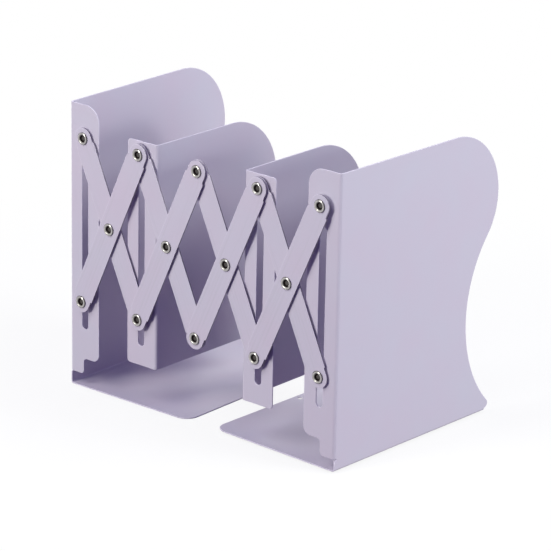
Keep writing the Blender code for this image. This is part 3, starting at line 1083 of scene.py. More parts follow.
    def _washer_group(self) -> ShapeGroup:
        """Plain ring round a shank, with rounded edges.

        Returns:
            The group.
        """
        group = ShapeGroup(
            "Plain washer",
            [
                Port("Pivots", PortKind.GEOMETRY),
                Port("Inside"),
                Port("Outside"),
                Port("Rear"),
                Port("Front"),
                Port("Edge Radius"),
                Port("Rail Radius"),
                Port("Weld"),
                Port("Facets", PortKind.COUNT),
                Port("Steps", PortKind.COUNT),
                Port("Turn", PortKind.VECTOR),
                Port("Finish", PortKind.MATERIAL),
            ],
        )
        give = group.given
        edge = give("Edge Radius")
        profile = group.outline(
            [
                (give("Inside"), give("Rear"), edge, give("Facets")),
                (give("Outside"), give("Rear"), edge, give("Facets")),
                (give("Outside"), give("Front"), edge, give("Facets")),
                (give("Inside"), give("Front"), edge, give("Facets")),
            ],
            closed=True,
        )
        self._seat_turned(group, profile)
        return group


class Effects:
    """Shader groups that several finishes share, each built once."""

    noise_roughness = 0.55
    grain_detail = 3.0
    swell_detail = 1.0
    mottle_detail = 2.0
    wear_detail = 3.0

    def __init__(self) -> None:
        """Build every group."""
        self.grain = self._grain_group()
        self.mottle = self._mottle_group()
        self.wear = self._wear_group()

    def _grain_group(self) -> Group:
        """Fine grain of a sprayed or plated skin: small pimples over a longer swell.

        Returns:
            The group.
        """
        group = Group(
            "Fine grain",
            TreeKind.SHADER,
            [Port("Place", PortKind.VECTOR), Port("Scale"), Port("Swell Scale"), Port("Swell Share")],
            [Port("Height"), Port("Grain")],
        )
        place = group.given("Place")
        fine = group.noise(place, group.given("Scale"), self.grain_detail, self.noise_roughness)
        swell = group.noise(place, group.given("Swell Scale"), self.swell_detail, self.noise_roughness)
        share = group.given("Swell Share")
        grain = group.math("MULTIPLY", fine, group.math("SUBTRACT", 1.0, share))
        group.give("Height", group.math("ADD", grain, group.math("MULTIPLY", swell, share)))
        group.give("Grain", fine)
        return group

    def _mottle_group(self) -> Group:
        """Broad soft patches, as a skin has where it is a little thicker or thinner.

        Returns:
            The group.
        """
        group = Group(
            "Soft mottle",
            TreeKind.SHADER,
            [Port("Place", PortKind.VECTOR), Port("Scale"), Port("Contrast")],
            [Port("Value")],
        )
        scale = group.given("Scale")
        broad = group.noise(group.given("Place"), scale, self.mottle_detail, self.noise_roughness)
        around = group.math("SUBTRACT", broad, NOISE_MIDDLE)
        around = group.math("MULTIPLY", around, group.given("Contrast"))
        group.give("Value", group.clamped(group.math("ADD", around, NOISE_MIDDLE)))
        return group

    def _wear_group(self) -> Group:
        """Broken mask along an edge or in a recess, for wear on rims and for painted shade.

        Returns:
            The group.
        """
        group = Group(
            "Edge wear",
            TreeKind.SHADER,
            [
                Port("Place", PortKind.VECTOR),
                Port("Edge"),
                Port("Amount"),
                Port("Breakup Scale"),
                Port("Breakup"),
            ],
            [Port("Mask")],
        )
        scale = group.given("Breakup Scale")
        patch = group.noise(group.given("Place"), scale, self.wear_detail, self.noise_roughness)
        broken = group.math("SUBTRACT", patch, NOISE_MIDDLE)
        broken = group.math("MULTIPLY", broken, group.given("Breakup"))
        level = group.math("ADD", broken, group.given("Amount"))
        group.give("Mask", group.clamped(group.math("MULTIPLY", group.given("Edge"), level)))
        return group


@dataclass(frozen=True)
class Wear:
    """What an edge or a recess looks like, how much of it does, and how broken the mask is. The coat's
    rims use it for wear; the bars' cut sides and the rivet rings' feet use it for painted shade.
    """

    colour: tuple[float, float, float]
    amount: float
    breakup: float
    scale: float


@dataclass(frozen=True)
class Finish:
    """A finish of the bookend: two colours in soft patches, grain, gloss and bump.

    Colours are linear, scales are per metre and depths are in metres.
    """

    effects: Effects
    slot: Slot
    colour: tuple[float, float, float]
    other_colour: tuple[float, float, float]
    roughness: float
    roughness_spread: float
    metallic: float
    bump: float
    bump_depth: float
    grain_scale: float
    swell_scale: float
    swell_share: float
    mottle_scale: float
    mottle_contrast: float

    def material(self) -> bpy.types.Material:
        """Build the material of this finish.

        Returns:
            The material, named for its slot.
        """
        made = bpy.data.materials.new(f"{self.slot.value}_finish")
        made.use_nodes = True
        made.diffuse_color = (*self.colour, 1.0)
        wiring = Wiring(made.node_tree)
        shader = made.node_tree.nodes["Principled BSDF"]
        place = wiring.node("ShaderNodeTexCoord").outputs["Object"]
        grain = self.effect(wiring, self.effects.grain, {
            "Place": place,
            "Scale": self.grain_scale,
            "Swell Scale": self.swell_scale,
            "Swell Share": self.swell_share,
        })
        mottle = self.effect(wiring, self.effects.mottle, {
            "Place": place,
            "Scale": self.mottle_scale,
            "Contrast": self.mottle_contrast,
        })
        colour = wiring.blend(mottle.outputs["Value"], self.colour, self.other_colour)
        colour = self.dressed(wiring, place, colour)
        around = wiring.math("SUBTRACT", grain.outputs["Grain"], NOISE_MIDDLE)
        rough = wiring.math("MULTIPLY", around, self.roughness_spread)
        rough = wiring.math("ADD", rough, self.roughness)
        rough = self.roughened(wiring, rough)
        feeds = {"Height": grain.outputs["Height"], "Strength": self.bump, "Distance": self.bump_depth}
        normal = wiring.node("ShaderNodeBump", feeds).outputs[0]
        wiring.feed(shader.inputs["Base Color"], colour)
        wiring.feed(shader.inputs["Roughness"], rough)
        wiring.feed(shader.inputs["Metallic"], self.metallic)
        wiring.feed(shader.inputs["Normal"], normal)
        return made

    def effect(self, wiring: Wiring, group: Group, feeds: dict[str, object]) -> bpy.types.Node:
        """Place a shared effect in this material.

        Args:
            wiring: the material's nodes.
            group: the effect.
            feeds: values or sockets for its inputs.

        Returns:
            The group's node.
        """
        node = wiring.tree.nodes.new("ShaderNodeGroup")
        node.node_tree = group.tree
        for key, value in feeds.items():
            wiring.feed(node.inputs[key], value)
        return node

    def worn(
        self,
        wiring: Wiring,
        place: object,
        colour: object,
        edge: object,
        wear: Wear,
    ) -> bpy.types.NodeSocket:
        """Colour with the look that a mark calls for: wear on rims, painted shade on the bars' cut
        sides and at the foot of rivet rings.

        Args:
            wiring: the material's nodes.
            place: object coordinates.
            colour: colour without it.
            edge: the mark, from 0 to 1.
            wear: what it looks like there.

        Returns:
            The colour's socket.
        """
        feeds = {
            "Place": place,
            "Edge": edge,
            "Amount": wear.amount,
            "Breakup Scale": wear.scale,
            "Breakup": wear.breakup,
        }
        mask = self.effect(wiring, self.effects.wear, feeds).outputs["Mask"]
        return wiring.blend(mask, colour, wear.colour)

    def mark(self, wiring: Wiring, name: str) -> bpy.types.NodeSocket:
        """Number that the shape groups stored on the piece."""
        return wiring.node("ShaderNodeAttribute", attribute_name=name).outputs["Fac"]

    def dressed(self, wiring: Wiring, place: object, colour: object) -> bpy.types.NodeSocket:
        """Colour with this finish's own marks, none where the finish has none."""
        return colour

    def roughened(self, wiring: Wiring, rough: object) -> bpy.types.NodeSocket:
        """Roughness with this finish's own marks, none where the finish has none."""
        return rough


@dataclass(frozen=True)
class PowderCoat(Finish):
    """Satin powder coat: thin and pale over the sheets' rims, with painted shade on the bars' cut
    sides.

    Faint streaks run along the bars, where they rub on each other.
    """

    rim: Wear = Wear((0.72, 0.67, 0.79), amount=0.55, breakup=0.5, scale=260.0)
    # Painted shade: near black on the bars' cut sides, standing for the shadow that fills the narrow
    # gaps between the layers of the stack.
    cut: Wear = Wear((0.11, 0.088, 0.14), amount=0.86, breakup=0.4, scale=260.0)
    rub_colour: tuple[float, float, float] = (0.475, 0.455, 0.515)
    rub_amount: float = 0.34
    rub_scale: tuple[float, float, float] = (14.0, 620.0, 1.0)
    rub_detail: float = 2.0
    rub_roughness: float = 0.5
    rub_start: float = 0.52
    rub_full: float = 0.72

    def _rubbed(self, wiring: Wiring) -> bpy.types.NodeSocket:
        """Mask of the streaks that run along each bar.

        Args:
            wiring: the material's nodes.

        Returns:
            The mask's socket.
        """
        run = wiring.node("ShaderNodeAttribute", attribute_name=RUN).outputs["Vector"]
        place = wiring.node("ShaderNodeMapping", {"Vector": run, "Scale": self.rub_scale}).outputs[0]
        lines = wiring.noise(place, 1.0, self.rub_detail, self.rub_roughness)
        streaks = wiring.ramp(lines, self.rub_start, self.rub_full, last=self.rub_amount)
        return wiring.math("MULTIPLY", streaks, self.mark(wiring, RUB))

    def dressed(self, wiring: Wiring, place: object, colour: object) -> bpy.types.NodeSocket:
        """Colour, streaked along the bars, paler on rims, and with painted shade on the bars' cut
        sides.

        Args:
            wiring: the material's nodes.
            place: object coordinates.
            colour: colour of the even coat.

        Returns:
            The colour's socket.
        """
        colour = wiring.blend(self._rubbed(wiring), colour, self.rub_colour)
        colour = self.worn(wiring, place, colour, self.mark(wiring, RIM), self.rim)
        # Painted shade on the cut sides of the bars only.
        shaded_bar_sides = wiring.math("MULTIPLY", self.mark(wiring, CUT), self.mark(wiring, RUB))
        return self.worn(wiring, place, colour, shaded_bar_sides, self.cut)


@dataclass(frozen=True)
class BrightPlate(Finish):
    """Bright plating, duller in the bore, with painted shade in the bore and round the foot of the
    ring.
    """

    # Painted shade: near black round the foot of the ring, standing for the contact shadow where the
    # ring sits on the bar.
    seat: Wear = Wear((0.030, 0.025, 0.032), amount=0.95, breakup=0.5, scale=700.0)
    # Painted shade: the bore is darkened to stand for the shade deep in a hollow rivet.
    bore_colour: tuple[float, float, float] = (0.016, 0.012, 0.013)
    bore_roughness: float = 0.55
    bore_start: float = 0.1
    bore_full: float = 0.5

    def _bore_mask(self, wiring: Wiring) -> bpy.types.NodeSocket:
        """Mask of the bore, full from a little way below its mouth."""
        return wiring.ramp(self.mark(wiring, BORE), self.bore_start, self.bore_full)

    def dressed(self, wiring: Wiring, place: object, colour: object) -> bpy.types.NodeSocket:
        """Colour with painted shade round the ring's foot and in the bore."""
        colour = self.worn(wiring, place, colour, self.mark(wiring, SEAT), self.seat)
        return wiring.blend(self._bore_mask(wiring), colour, self.bore_colour)

    def roughened(self, wiring: Wiring, rough: object) -> bpy.types.NodeSocket:
        """Roughness, duller in the bore."""
        added = wiring.math("MULTIPLY", self._bore_mask(wiring), self.bore_roughness)
        return wiring.math("ADD", rough, added)


class Finishes:
    """The bookend's four materials."""

    def __init__(self) -> None:
        """Build them."""
        effects = Effects()
        coat = PowderCoat(
            effects,
            Slot.COAT,
            colour=(0.566, 0.534, 0.634),
            other_colour=(0.580, 0.513, 0.620),
            roughness=0.46,
            roughness_spread=0.16,
            metallic=0.0,
            bump=0.35,
            bump_depth=0.02 * MM,
            grain_scale=1400.0,
            swell_scale=420.0,
            swell_share=0.45,
            mottle_scale=26.0,
            mottle_contrast=2.2,
        )
        nickel = BrightPlate(
            effects,
            Slot.NICKEL,
            colour=(0.50, 0.48, 0.475),
            other_colour=(0.38, 0.36, 0.36),
            roughness=0.2,
            roughness_spread=0.2,
            metallic=1.0,
            bump=0.25,
            bump_depth=0.01 * MM,
            grain_scale=2600.0,
            swell_scale=700.0,
            swell_share=0.4,
            mottle_scale=420.0,
            mottle_contrast=2.5,
        )
        zinc = Finish(
            effects,
            Slot.ZINC,
            colour=(0.50, 0.50, 0.52),
            other_colour=(0.42, 0.43, 0.46),
            roughness=0.38,
            roughness_spread=0.2,
            metallic=1.0,
            bump=0.3,
            bump_depth=0.01 * MM,
            grain_scale=1900.0,
            swell_scale=600.0,
            swell_share=0.4,
            mottle_scale=500.0,
            mottle_contrast=3.0,
        )
        rubber = Finish(
            effects,
            Slot.RUBBER,
            colour=(0.050, 0.050, 0.055),
            other_colour=(0.065, 0.064, 0.068),
            roughness=0.8,
            roughness_spread=0.12,
            metallic=0.0,
            bump=0.5,
            bump_depth=0.04 * MM,
            grain_scale=1500.0,
            swell_scale=500.0,
            swell_share=0.3,
            mottle_scale=120.0,
            mottle_contrast=2.0,
        )
        self.materials = {finish.slot: finish.material() for finish in (coat, nickel, zinc, rubber)}

    def __getitem__(self, slot: Slot) -> bpy.types.Material:
        """Material of a slot."""
        return self.materials[slot]


@dataclass(frozen=True)
class Shop:
    """What every sub-assembly is made with."""

    stock: Stock
    linkage: Linkage
    shapes: Shapes
    finishes: Finishes

    def deliver(self, item: bpy.types.Object, slot: Slot, body: str, nodes: Sequence[str]) -> None:
        """Hand a finished piece to the frame.

        Args:
            item: the piece.
            slot: its material slot; not used.
            body: body that it rides on.
            nodes: nodes of the frame that it stands for.
        """
        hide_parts(*nodes)
        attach(item, body)
        log.info("%s: %d faces, rides on %s", item.name, len(item.data.polygons), body)

    @property
    def rim_values(self) -> dict[str, object]:
        """Inputs for the rounded rims of the shape groups.

        Returns:
            The inputs by name.
        """
        return {
            "Rim Radius": self.stock.rim_radius,
            "Rim Band": self.stock.rim_band,
            "Rim Facets": self.stock.rim_facets,
            "Weld": self.stock.weld,
        }


@dataclass(frozen=True)
class FoldedPlate:
    """Plate with a slotted front flange, folded from one blank."""

    shop: Shop
    node: str
    body: str
    column: int
    pointing: Pointing

    @property
    def flange_angle(self) -> float:
        """Angle through which the flange is bent."""
        return RIGHT_ANGLE

    @property
    def inset(self) -> float:
        """Distance from the plate's outer face to the pivots."""
        return self.shop.linkage.divider_inset

    @property
    def floor(self) -> float:
        """Height of the base's underside."""
        return 0.0

    @property
    def base_angle(self) -> float:
        """Angle through which the base is bent, none where there is no base."""
        return 0.0

    @property
    def base_top(self) -> float:
        """Height on the blank below which the base bend counts."""
        return -self.shop.linkage.plate_height

    def setback(self, angle: float) -> float:
        """Distance from a bend's outside corner to where the sheet starts to curve."""
        return self.shop.stock.bend_radius * math.tan(angle / 2)

    def beyond(self, distance: float, angle: float) -> float:
        """Place on the blank of a point some distance past the outside corner of a bend."""
        return 2 * self.setback(angle) - self.shop.stock.bend_radius * angle - distance

    def slot_outline(self, x: float, low: float, high: float) -> list[Vector]:
        """Upright slot.

        Args:
            x: its middle line.
            low: centre of its lower end.
            high: centre of its upper end.

        Returns:
            Its outline.
        """
        radius = self.shop.linkage.hole_radius
        gap = self.shop.stock.chord_gap
        top = arc(Vector((x, high)), radius, 0, math.pi, gap)
        return top + arc(Vector((x, low)), radius, math.pi, 2 * math.pi, gap)

    def hole_outline(self, x: float, y: float, radius: float) -> list[Vector]:
        """Round hole, its centre at x along the blank and y up it."""
        return arc(Vector((x, y)), radius, 0, 2 * math.pi, self.shop.stock.chord_gap)[:-1]

    def outlines(self) -> tuple[list[Vector], list[list[Vector]]]:
        """Rim and holes of the blank."""
        raise NotImplementedError

    def crease(self, solid: bmesh.types.BMesh, axis: int, angle: float, above: float) -> None:
        """Cut the blank along the facets of a bend and just beside them.

        Args:
            solid: the blank.
            axis: axis that crosses the bend, 0 or 1.
            angle: angle of the bend.
            above: height above which faces are cut.
        """
        stock = self.shop.stock
        normal = Vector((0, 0, 0))
        normal[axis] = 1
        start = self.setback(angle)
        length = stock.bend_radius * angle
        lines = [start - length * step / stock.bend_facets for step in range(stock.bend_facets + 1)]
        for line in [start + stock.bend_band, *lines, start - length - stock.bend_band]:
            faces = [face for face in solid.faces if face.calc_center_median().y > above]
            edges = {edge for face in faces for edge in face.edges}
            verts = {vert for face in faces for vert in face.verts}
            bmesh.ops.bisect_plane(
                solid,
                geom=faces + list(edges) + list(verts),
                dist=stock.weld,
                plane_co=normal * line,
                plane_no=normal,
            )

    def creased(self, blank: bpy.types.Object) -> None:
        """Cut the blank where it will bend.

        Args:
            blank: the flat blank, changed in place.
        """
        solid = bmesh.new()
        solid.from_mesh(blank.data)
        if self.base_angle:
            bmesh.ops.bisect_plane(
                solid,
                geom=solid.verts[:] + solid.edges[:] + solid.faces[:],
                dist=self.shop.stock.weld,
                plane_co=(0, self.base_top, 0),
                plane_no=(0, 1, 0),
            )
            bmesh.ops.translate(solid, verts=solid.verts, vec=(0, -self.floor, 0))
            self.crease(solid, 1, self.base_angle, -math.inf)
            bmesh.ops.translate(solid, verts=solid.verts, vec=(0, self.floor, 0))
        self.crease(solid, 0, self.flange_angle, self.base_top)
        solid.to_mesh(blank.data)
        solid.free()

    def build(self) -> None:
        """Cut, crease and fold the plate and hand it to the frame."""
        finish = self.shop.finishes[Slot.COAT]
        curve = outline_curve(f"{self.node}_formed", *self.outlines())
        values = {"Thickness": self.shop.stock.sheet, "Finish": finish, **self.shop.rim_values}
        blank = formed(curve, self.shop.shapes.plate, values)
        self.creased(blank)
        pivot = self.shop.linkage.pivot(self.column, Row.TOP)
        values = {
            "Bend Radius": self.shop.stock.bend_radius,
            "Flange Angle": self.flange_angle,
            "Base Angle": self.base_angle,
            "Base Top": self.base_top,
            "Floor": self.floor,
            "Pivot Inset": self.inset,
            "Pivot Height": self.shop.linkage.top_row,
            "Side": float(self.pointing.value),
            "Pivot": tuple(pivot),
            "Finish": finish,
        }
        plate = formed(blank, self.shop.shapes.fold, values)
        self.shop.deliver(plate, Slot.COAT, self.body, [self.node])


@dataclass(frozen=True)
class EndPlate(FoldedPlate):
    """End plate: round crown, hollow waist, slotted flange with a stepped foot, and a base."""

    raised: bool = False
    crown_radius: float = 43.5 * MM
    waist_cut: float = 27.3 * MM
    foot_setback: float = 2.0 * MM
    foot_radius: float = 3.0 * MM
    base_length: float = 100.5 * MM
    base_front: float = 0.3 * MM
    base_corner: float = 9.5 * MM
    base_hole_radius: float = 1.65 * MM
    base_hole_edge: float = 4.4 * MM
    base_hole_depth: float = 76.4 * MM
    flange_corner: float = 11.0 * MM
    toe_width: float = 11.5 * MM
    toe_height: float = 9.3 * MM
    toe_radius: float = 2.8 * MM
    step_height: float = 20.0 * MM
    step_corner: float = 5.5 * MM
    relief_width: float = 0.8 * MM
    relief_depth: float = 0.6 * MM
    relief_corner: float = 0.25 * MM

    @property
    def flange_angle(self) -> float:
        """Angle through which the flange is bent."""
        return RIGHT_ANGLE - self.shop.linkage.splay

    @property
    def inset(self) -> float:
        """Distance from the plate's outer face to the pivots."""
        return self.shop.linkage.end_inset

    @property
    def floor(self) -> float:
        """Height of the base's underside."""
        return self.shop.stock.base_raise if self.raised else 0.0

    @property
    def base_angle(self) -> float:
        """Angle through which the base is bent."""
        return RIGHT_ANGLE

    @property
    def base_top(self) -> float:
        """Height on the blank below which the base bend counts, in the middle of the relief."""
        return self.toe_height - self.relief_width / 2

    def waist_radius(self, crown: Vector, foot: Vector, waist_depth: float) -> float:
        """Radius of the hollow curve that touches the crown and foot arcs.

        Args:
            crown: centre of the crown's arc.
            foot: centre of the foot's arc.
            waist_depth: depth of the plate at its waist.

        Returns:
            The radius.
        """
        crown_side = waist_depth - crown.x
        foot_side = waist_depth - foot.x
        rise = crown.y - foot.y
        growth_ratio = (self.foot_radius - foot_side) / (self.crown_radius - crown_side)
        crown_part = self.crown_radius ** 2 - crown_side ** 2
        foot_part = self.foot_radius ** 2 - foot_side ** 2
        span = rise ** 2 - foot_part + growth_ratio * crown_part
        upper = span / (rise + math.sqrt(rise ** 2 - (1 - growth_ratio) * span))
        return (upper ** 2 - crown_part) / (self.crown_radius - crown_side) / 2

    def rear_edge(self) -> list[Vector]:
        """Rear edge from the crown down to the base.

        Returns:
            Its points on the blank.
        """
        depth = self.shop.linkage.plate_depth
        gap = self.shop.stock.chord_gap
        crown = Vector((depth - self.crown_radius, self.shop.linkage.plate_height - self.crown_radius))
        foot_height = self.floor + self.shop.stock.bend_radius + self.foot_radius
        foot = Vector((depth - self.foot_setback - self.foot_radius, foot_height))
        waist_depth = depth - self.waist_cut
        radius = self.waist_radius(crown, foot, waist_depth)
        side = waist_depth + radius
        height = crown.y - math.sqrt((self.crown_radius + radius) ** 2 - (side - crown.x) ** 2)
        waist = Vector((side, height))
        to_waist = math.atan2(waist.y - crown.y, waist.x - crown.x)
        to_foot = math.atan2(foot.y - waist.y, foot.x - waist.x) + 2 * math.pi
        edge = arc(crown, self.crown_radius, RIGHT_ANGLE, to_waist, gap)
        edge += arc(waist, radius, to_waist + math.pi, to_foot, gap)[1:]
        edge += arc(foot, self.foot_radius, to_foot - math.pi, -RIGHT_ANGLE, gap)[1:]
        return edge

    def outlines(self) -> tuple[list[Vector], list[list[Vector]]]:
        """Outlines of the blank, with its flange, toe, step, relief cut and base.

        Returns:
            Its rim, and its pivot hole, slot and base hole.
        """
        rear = self.rear_edge()
        linkage = self.shop.linkage
        free = self.beyond(linkage.flange_width, self.flange_angle)
        toe = self.beyond(self.toe_width, self.flange_angle)
        pivot = self.beyond(self.inset, self.flange_angle)
        base = self.floor + self.beyond(self.base_length, self.base_angle)
        relief_back = self.setback(self.flange_angle) + self.relief_depth
        relief_low = self.toe_height - self.relief_width
        corners = [(free, linkage.plate_height, self.flange_corner)]
        corners += [(point.x, point.y, 0) for point in rear]
        corners += [
            (rear[-1].x, base, self.base_corner),
            (self.base_front, base, self.base_corner),
            (self.base_front, relief_low, 2 * self.relief_corner),
            (relief_back, relief_low, self.relief_corner),
            (relief_back, self.toe_height, self.relief_corner),
            (toe, self.toe_height, self.toe_radius),
            (toe, self.step_height, self.toe_radius),
            (free, self.step_height, self.step_corner),
        ]
        holes = [
            self.hole_outline(pivot, linkage.top_row, linkage.hole_radius),
            self.slot_outline(pivot, linkage.slot_foot, linkage.top_row - linkage.least_drop),
            self.hole_outline(self.base_hole_depth, base + self.base_hole_edge, self.base_hole_radius),
        ]
        return rounded(corners, self.shop.stock.chord_gap), holes


@dataclass(frozen=True)
class Divider(FoldedPlate):
    """Divider with its slotted flange, clear of the bases."""

    depth: float = 113.0 * MM
    rise: float = 8.0 * MM
    drop: float = 15.8 * MM
    corner: float = 2.5 * MM
    crown_radius: float = 43.5 * MM
    rear_corner: float = 10.0 * MM
    slot_runout: float = 7.8 * MM

    def outlines(self) -> tuple[list[Vector], list[list[Vector]]]:
        """Outlines of the blank.

        Returns:
            Its rim, and its pivot hole and slot.
        """
        linkage = self.shop.linkage
        slot_low = linkage.top_row - linkage.most_drop - self.slot_runout
        top = linkage.top_row + self.rise
        bottom = slot_low - self.drop
        free = self.beyond(linkage.flange_width, self.flange_angle)
        pivot = self.beyond(self.inset, self.flange_angle)
        corners = [
            (free, top, self.corner),
            (self.depth, top, self.crown_radius),
            (self.depth, bottom, self.rear_corner),
            (free, bottom, self.corner),
        ]
        holes = [
            self.hole_outline(pivot, linkage.top_row, linkage.hole_radius),
            self.slot_outline(pivot, slot_low, linkage.top_row - linkage.least_drop),
        ]
        return rounded(corners, self.shop.stock.chord_gap), holes


@dataclass(frozen=True)
class Bars:
    """The eight bars of the linkage, each riding on its own body."""

    shop: Shop
    width: float = 15.9 * MM
    tab_radius: float = 7.0 * MM
    tab_round_share: float = 0.995
    shoulder: float = 4.6 * MM
    shoulder_radius: float = 0.42 * MM
    tab_facets: int = 28
    hole_facets: int = 56
    run_shift: float = 37.0 * MM

    def _values(self, layer: Layer, number: int) -> dict[str, object]:
        """Inputs of the bar group.

        Args:
            layer: layer of the bar. A back bar hangs from its first hole, a front bar from its middle.
            number: the bar's number, which sets its own streaks.

        Returns:
            The inputs by name.
        """
        linkage = self.shop.linkage
        front = layer is Layer.FRONT
        lean = linkage.lean if front else -linkage.lean
        return {
            "Reach": linkage.reach,
            "Width": self.width,
            "Tab Radius": self.tab_radius,
            "Tab Round Share": self.tab_round_share,
            "Shoulder": self.shoulder,
            "Shoulder Radius": self.shoulder_radius,
            "Hole Radius": linkage.hole_radius,
            "First Pivot": -linkage.reach / 2 if front else 0.0,
            "Run Shift": self.run_shift * number,
            "Rear": linkage.layers[f"{layer.value}_rear"],
            "Thickness": self.shop.stock.bar_sheet,
            "Tab Facets": self.tab_facets,
            "Hole Facets": self.hole_facets,
            "Turn": (RIGHT_ANGLE, RIGHT_ANGLE + lean, 0.0),
            "Finish": self.shop.finishes[Slot.COAT],
            **self.shop.rim_values,
        }

    def build(self) -> None:
        """Make the back bars and the front bars of every bay."""
        linkage = self.shop.linkage
        for bay in range(1, linkage.bays + 1):
            top = linkage.pivot(bay - 1, Row.TOP)
            crossing = linkage.pivot(bay - 0.5, Row.MIDDLE)
            bars = ((Layer.BACK, top, bay), (Layer.FRONT, crossing, linkage.bays + bay))
            for layer, place, number in bars:
                node = f"bar_{layer.value}_{bay}"
                points = point_object(f"{node}_formed", [place])
                bar = formed(points, self.shop.shapes.bar, self._values(layer, number))
                self.shop.deliver(bar, Slot.COAT, f"{layer.value}_link_{bay}", [node])


@dataclass(frozen=True)
class Seat:
    """One pivot's place in the linkage, and the body that its hardware rides on."""

    row: Row
    column: float
    number: int
    body: str

    @property
    def suffix(self) -> str:
        """End of the names of the nodes on this pivot."""
        return f"{self.row.value}_{self.number}"


@dataclass(frozen=True)
class Hardware:
    """Rivets, washers and spacers, one mesh for each kind on each body."""

    shop: Shop
    ring_radius: float = 4.05 * MM
    ring_round: float = 0.2 * MM
    shoulder_share: float = 0.7
    crown_radius: float = 3.45 * MM
    crown_round: float = 0.4 * MM
    mouth_radius: float = 2.85 * MM
    mouth_lip: float = 0.12 * MM
    mouth_round: float = 0.12 * MM
    funnel_depth: float = 0.7 * MM
    bore_radius: float = 2.2 * MM
    bore_depth: float = 1.55 * MM
    bore_round: float = 0.25 * MM
    floor_share: float = 0.44
    well_share: float = 0.6
    # Where the painted shade on the ring's outer wall starts and where it is full, as shares of the
    # ring's height down from its front.
    dirt_top_share: float = 0.12
    dirt_foot_share: float = 0.5
    head_radius: float = 4.1 * MM
    head_height: float = 0.9 * MM
    head_edge: float = 0.35 * MM
    head_flat_radius: float = 3.2 * MM
    head_round: float = 0.3 * MM
    washer_radius: float = 3.9 * MM
    washer_edge: float = 0.08 * MM
    rail_radius: float = 1.0 * MM
    rivet_facets: int = 6
    washer_facets: int = 3
    steps: int = 72
    turn: tuple[float, float, float] = (RIGHT_ANGLE, 0.0, 0.0)

    @property
    def flanged(self) -> tuple[int, ...]:
        """Columns of pivots that have a flange behind them."""
        return (0, 1, self.shop.linkage.bays - 1, self.shop.linkage.bays)

    def seats(self) -> list[Seat]:
        """Every pivot with a rivet.

        Returns:
            The seats, column by column, and then those at the crossings.
        """
        bays = self.shop.linkage.bays
        found = []
        for column in range(bays + 1):
            top = {0: "left_end", bays: "right_end"}.get(column, f"front_link_{column}")
            bottom = f"back_link_{column}" if column else "front_link_1"
            found.append(Seat(Row.TOP, column, column, top))
            found.append(Seat(Row.BOTTOM, column, column, bottom))
        for bay in range(1, bays + 1):
            found.append(Seat(Row.MIDDLE, bay - 0.5, bay, f"back_link_{bay}"))
        return found

    def _rivet_kind(self, seat: Seat) -> RivetKind:
        """Kind of rivet on a pivot.

        Args:
            seat: the pivot.

        Returns:
            The kind.
        """
        if seat.row is Row.MIDDLE or seat.column not in self.flanged:
            return RivetKind.FREE
        back_bar_alone = {Row.TOP: 0, Row.BOTTOM: self.shop.linkage.bays}
        alone = seat.column == back_bar_alone[seat.row]
        return RivetKind.SHORT if alone else RivetKind.LONG

    def _sorted(self, seats: Sequence[tuple[Enum, Seat]]) -> dict[tuple[Enum, str], list[Seat]]:
        """Seats by kind and body.

        Args:
            seats: kind and seat of each piece.

        Returns:
            The seats that share a kind and a body.
        """
        groups: dict[tuple[Enum, str], list[Seat]] = {}
        for kind, seat in seats:
            groups.setdefault((kind, seat.body), []).append(seat)
        return groups

    def _rivet_values(self, kind: RivetKind) -> dict[str, object]:
        """Inputs of the rivet group.

        Args:
            kind: kind of rivet.

        Returns:
            The inputs by name.
        """
        layers = self.shop.linkage.layers
        bearings = {
            RivetKind.SHORT: (layers["flange_rear"], layers["back_front"]),
            RivetKind.LONG: (layers["flange_rear"], layers["front_front"]),
            RivetKind.FREE: (layers["back_rear"], layers["front_front"]),
        }
        thin = kind is RivetKind.FREE
        height = self.shop.linkage.washer if thin else self.head_height
        return {
            "Bearing Rear": bearings[kind][0],
            "Bearing Front": bearings[kind][1],
            "Seat Gap": self.shop.stock.seat_gap,
            "Shank Radius": self.shop.linkage.shank_radius,
            "Ring Radius": self.ring_radius,
            "Ring Height": self.shop.linkage.ring_height,
            "Ring Round": self.ring_round,
            "Shoulder Share": self.shoulder_share,
            "Crown Radius": self.crown_radius,
            "Crown Round": self.crown_round,
            "Mouth Radius": self.mouth_radius,
            "Mouth Lip": self.mouth_lip,
            "Mouth Round": self.mouth_round,
            "Funnel Depth": self.funnel_depth,
            "Bore Radius": self.bore_radius,
            "Bore Depth": self.bore_depth,
            "Bore Round": self.bore_round,
            "Floor Share": self.floor_share,
            "Well Share": self.well_share,
            "Dirt Top Share": self.dirt_top_share,
            "Dirt Foot Share": self.dirt_foot_share,
            "Head Radius": self.head_radius,
            "Head Height": height,
            "Head Edge": height / 2 if thin else self.head_edge,
            "Head Flat Radius": self.head_flat_radius,
            "Head Round": self.head_round,
            "Rail Radius": self.rail_radius,
            "Weld": self.shop.stock.weld,
            "Facets": self.rivet_facets,
            "Steps": self.steps,
            "Turn": self.turn,
            "Finish": self.shop.finishes[Slot.NICKEL],
        }

    def build_rivets(self) -> None:
        """Make the rivets of every body."""
        kinds = [(self._rivet_kind(seat), seat) for seat in self.seats()]
        for (kind, body), seats in self._sorted(kinds).items():
            places = [self.shop.linkage.pivot(seat.column, seat.row) for seat in seats]
            points = point_object(f"rivets_{kind.value}_{body}", places)
            rivets = formed(points, self.shop.shapes.rivet, self._rivet_values(kind))
            nodes = [f"rivet_{seat.suffix}" for seat in seats]
            self.shop.deliver(rivets, Slot.NICKEL, body, nodes)

    def _rings(self) -> list[tuple[RingKind, Seat]]:
        """Every washer and spacer.

        Returns:
            Kind and seat of each.
        """
        bays = self.shop.linkage.bays
        front_bar_alone = {Row.TOP: bays, Row.BOTTOM: 0}
        found = []
        for seat in self.seats():
            if seat.row is Row.MIDDLE or 0 < seat.column < bays:
                found.append((RingKind.BARS, seat))
            if seat.row is not Row.MIDDLE and seat.column in self.flanged:
                alone = seat.column == front_bar_alone[seat.row]
                found.append((RingKind.SPACER if alone else RingKind.REAR, seat))
        return found

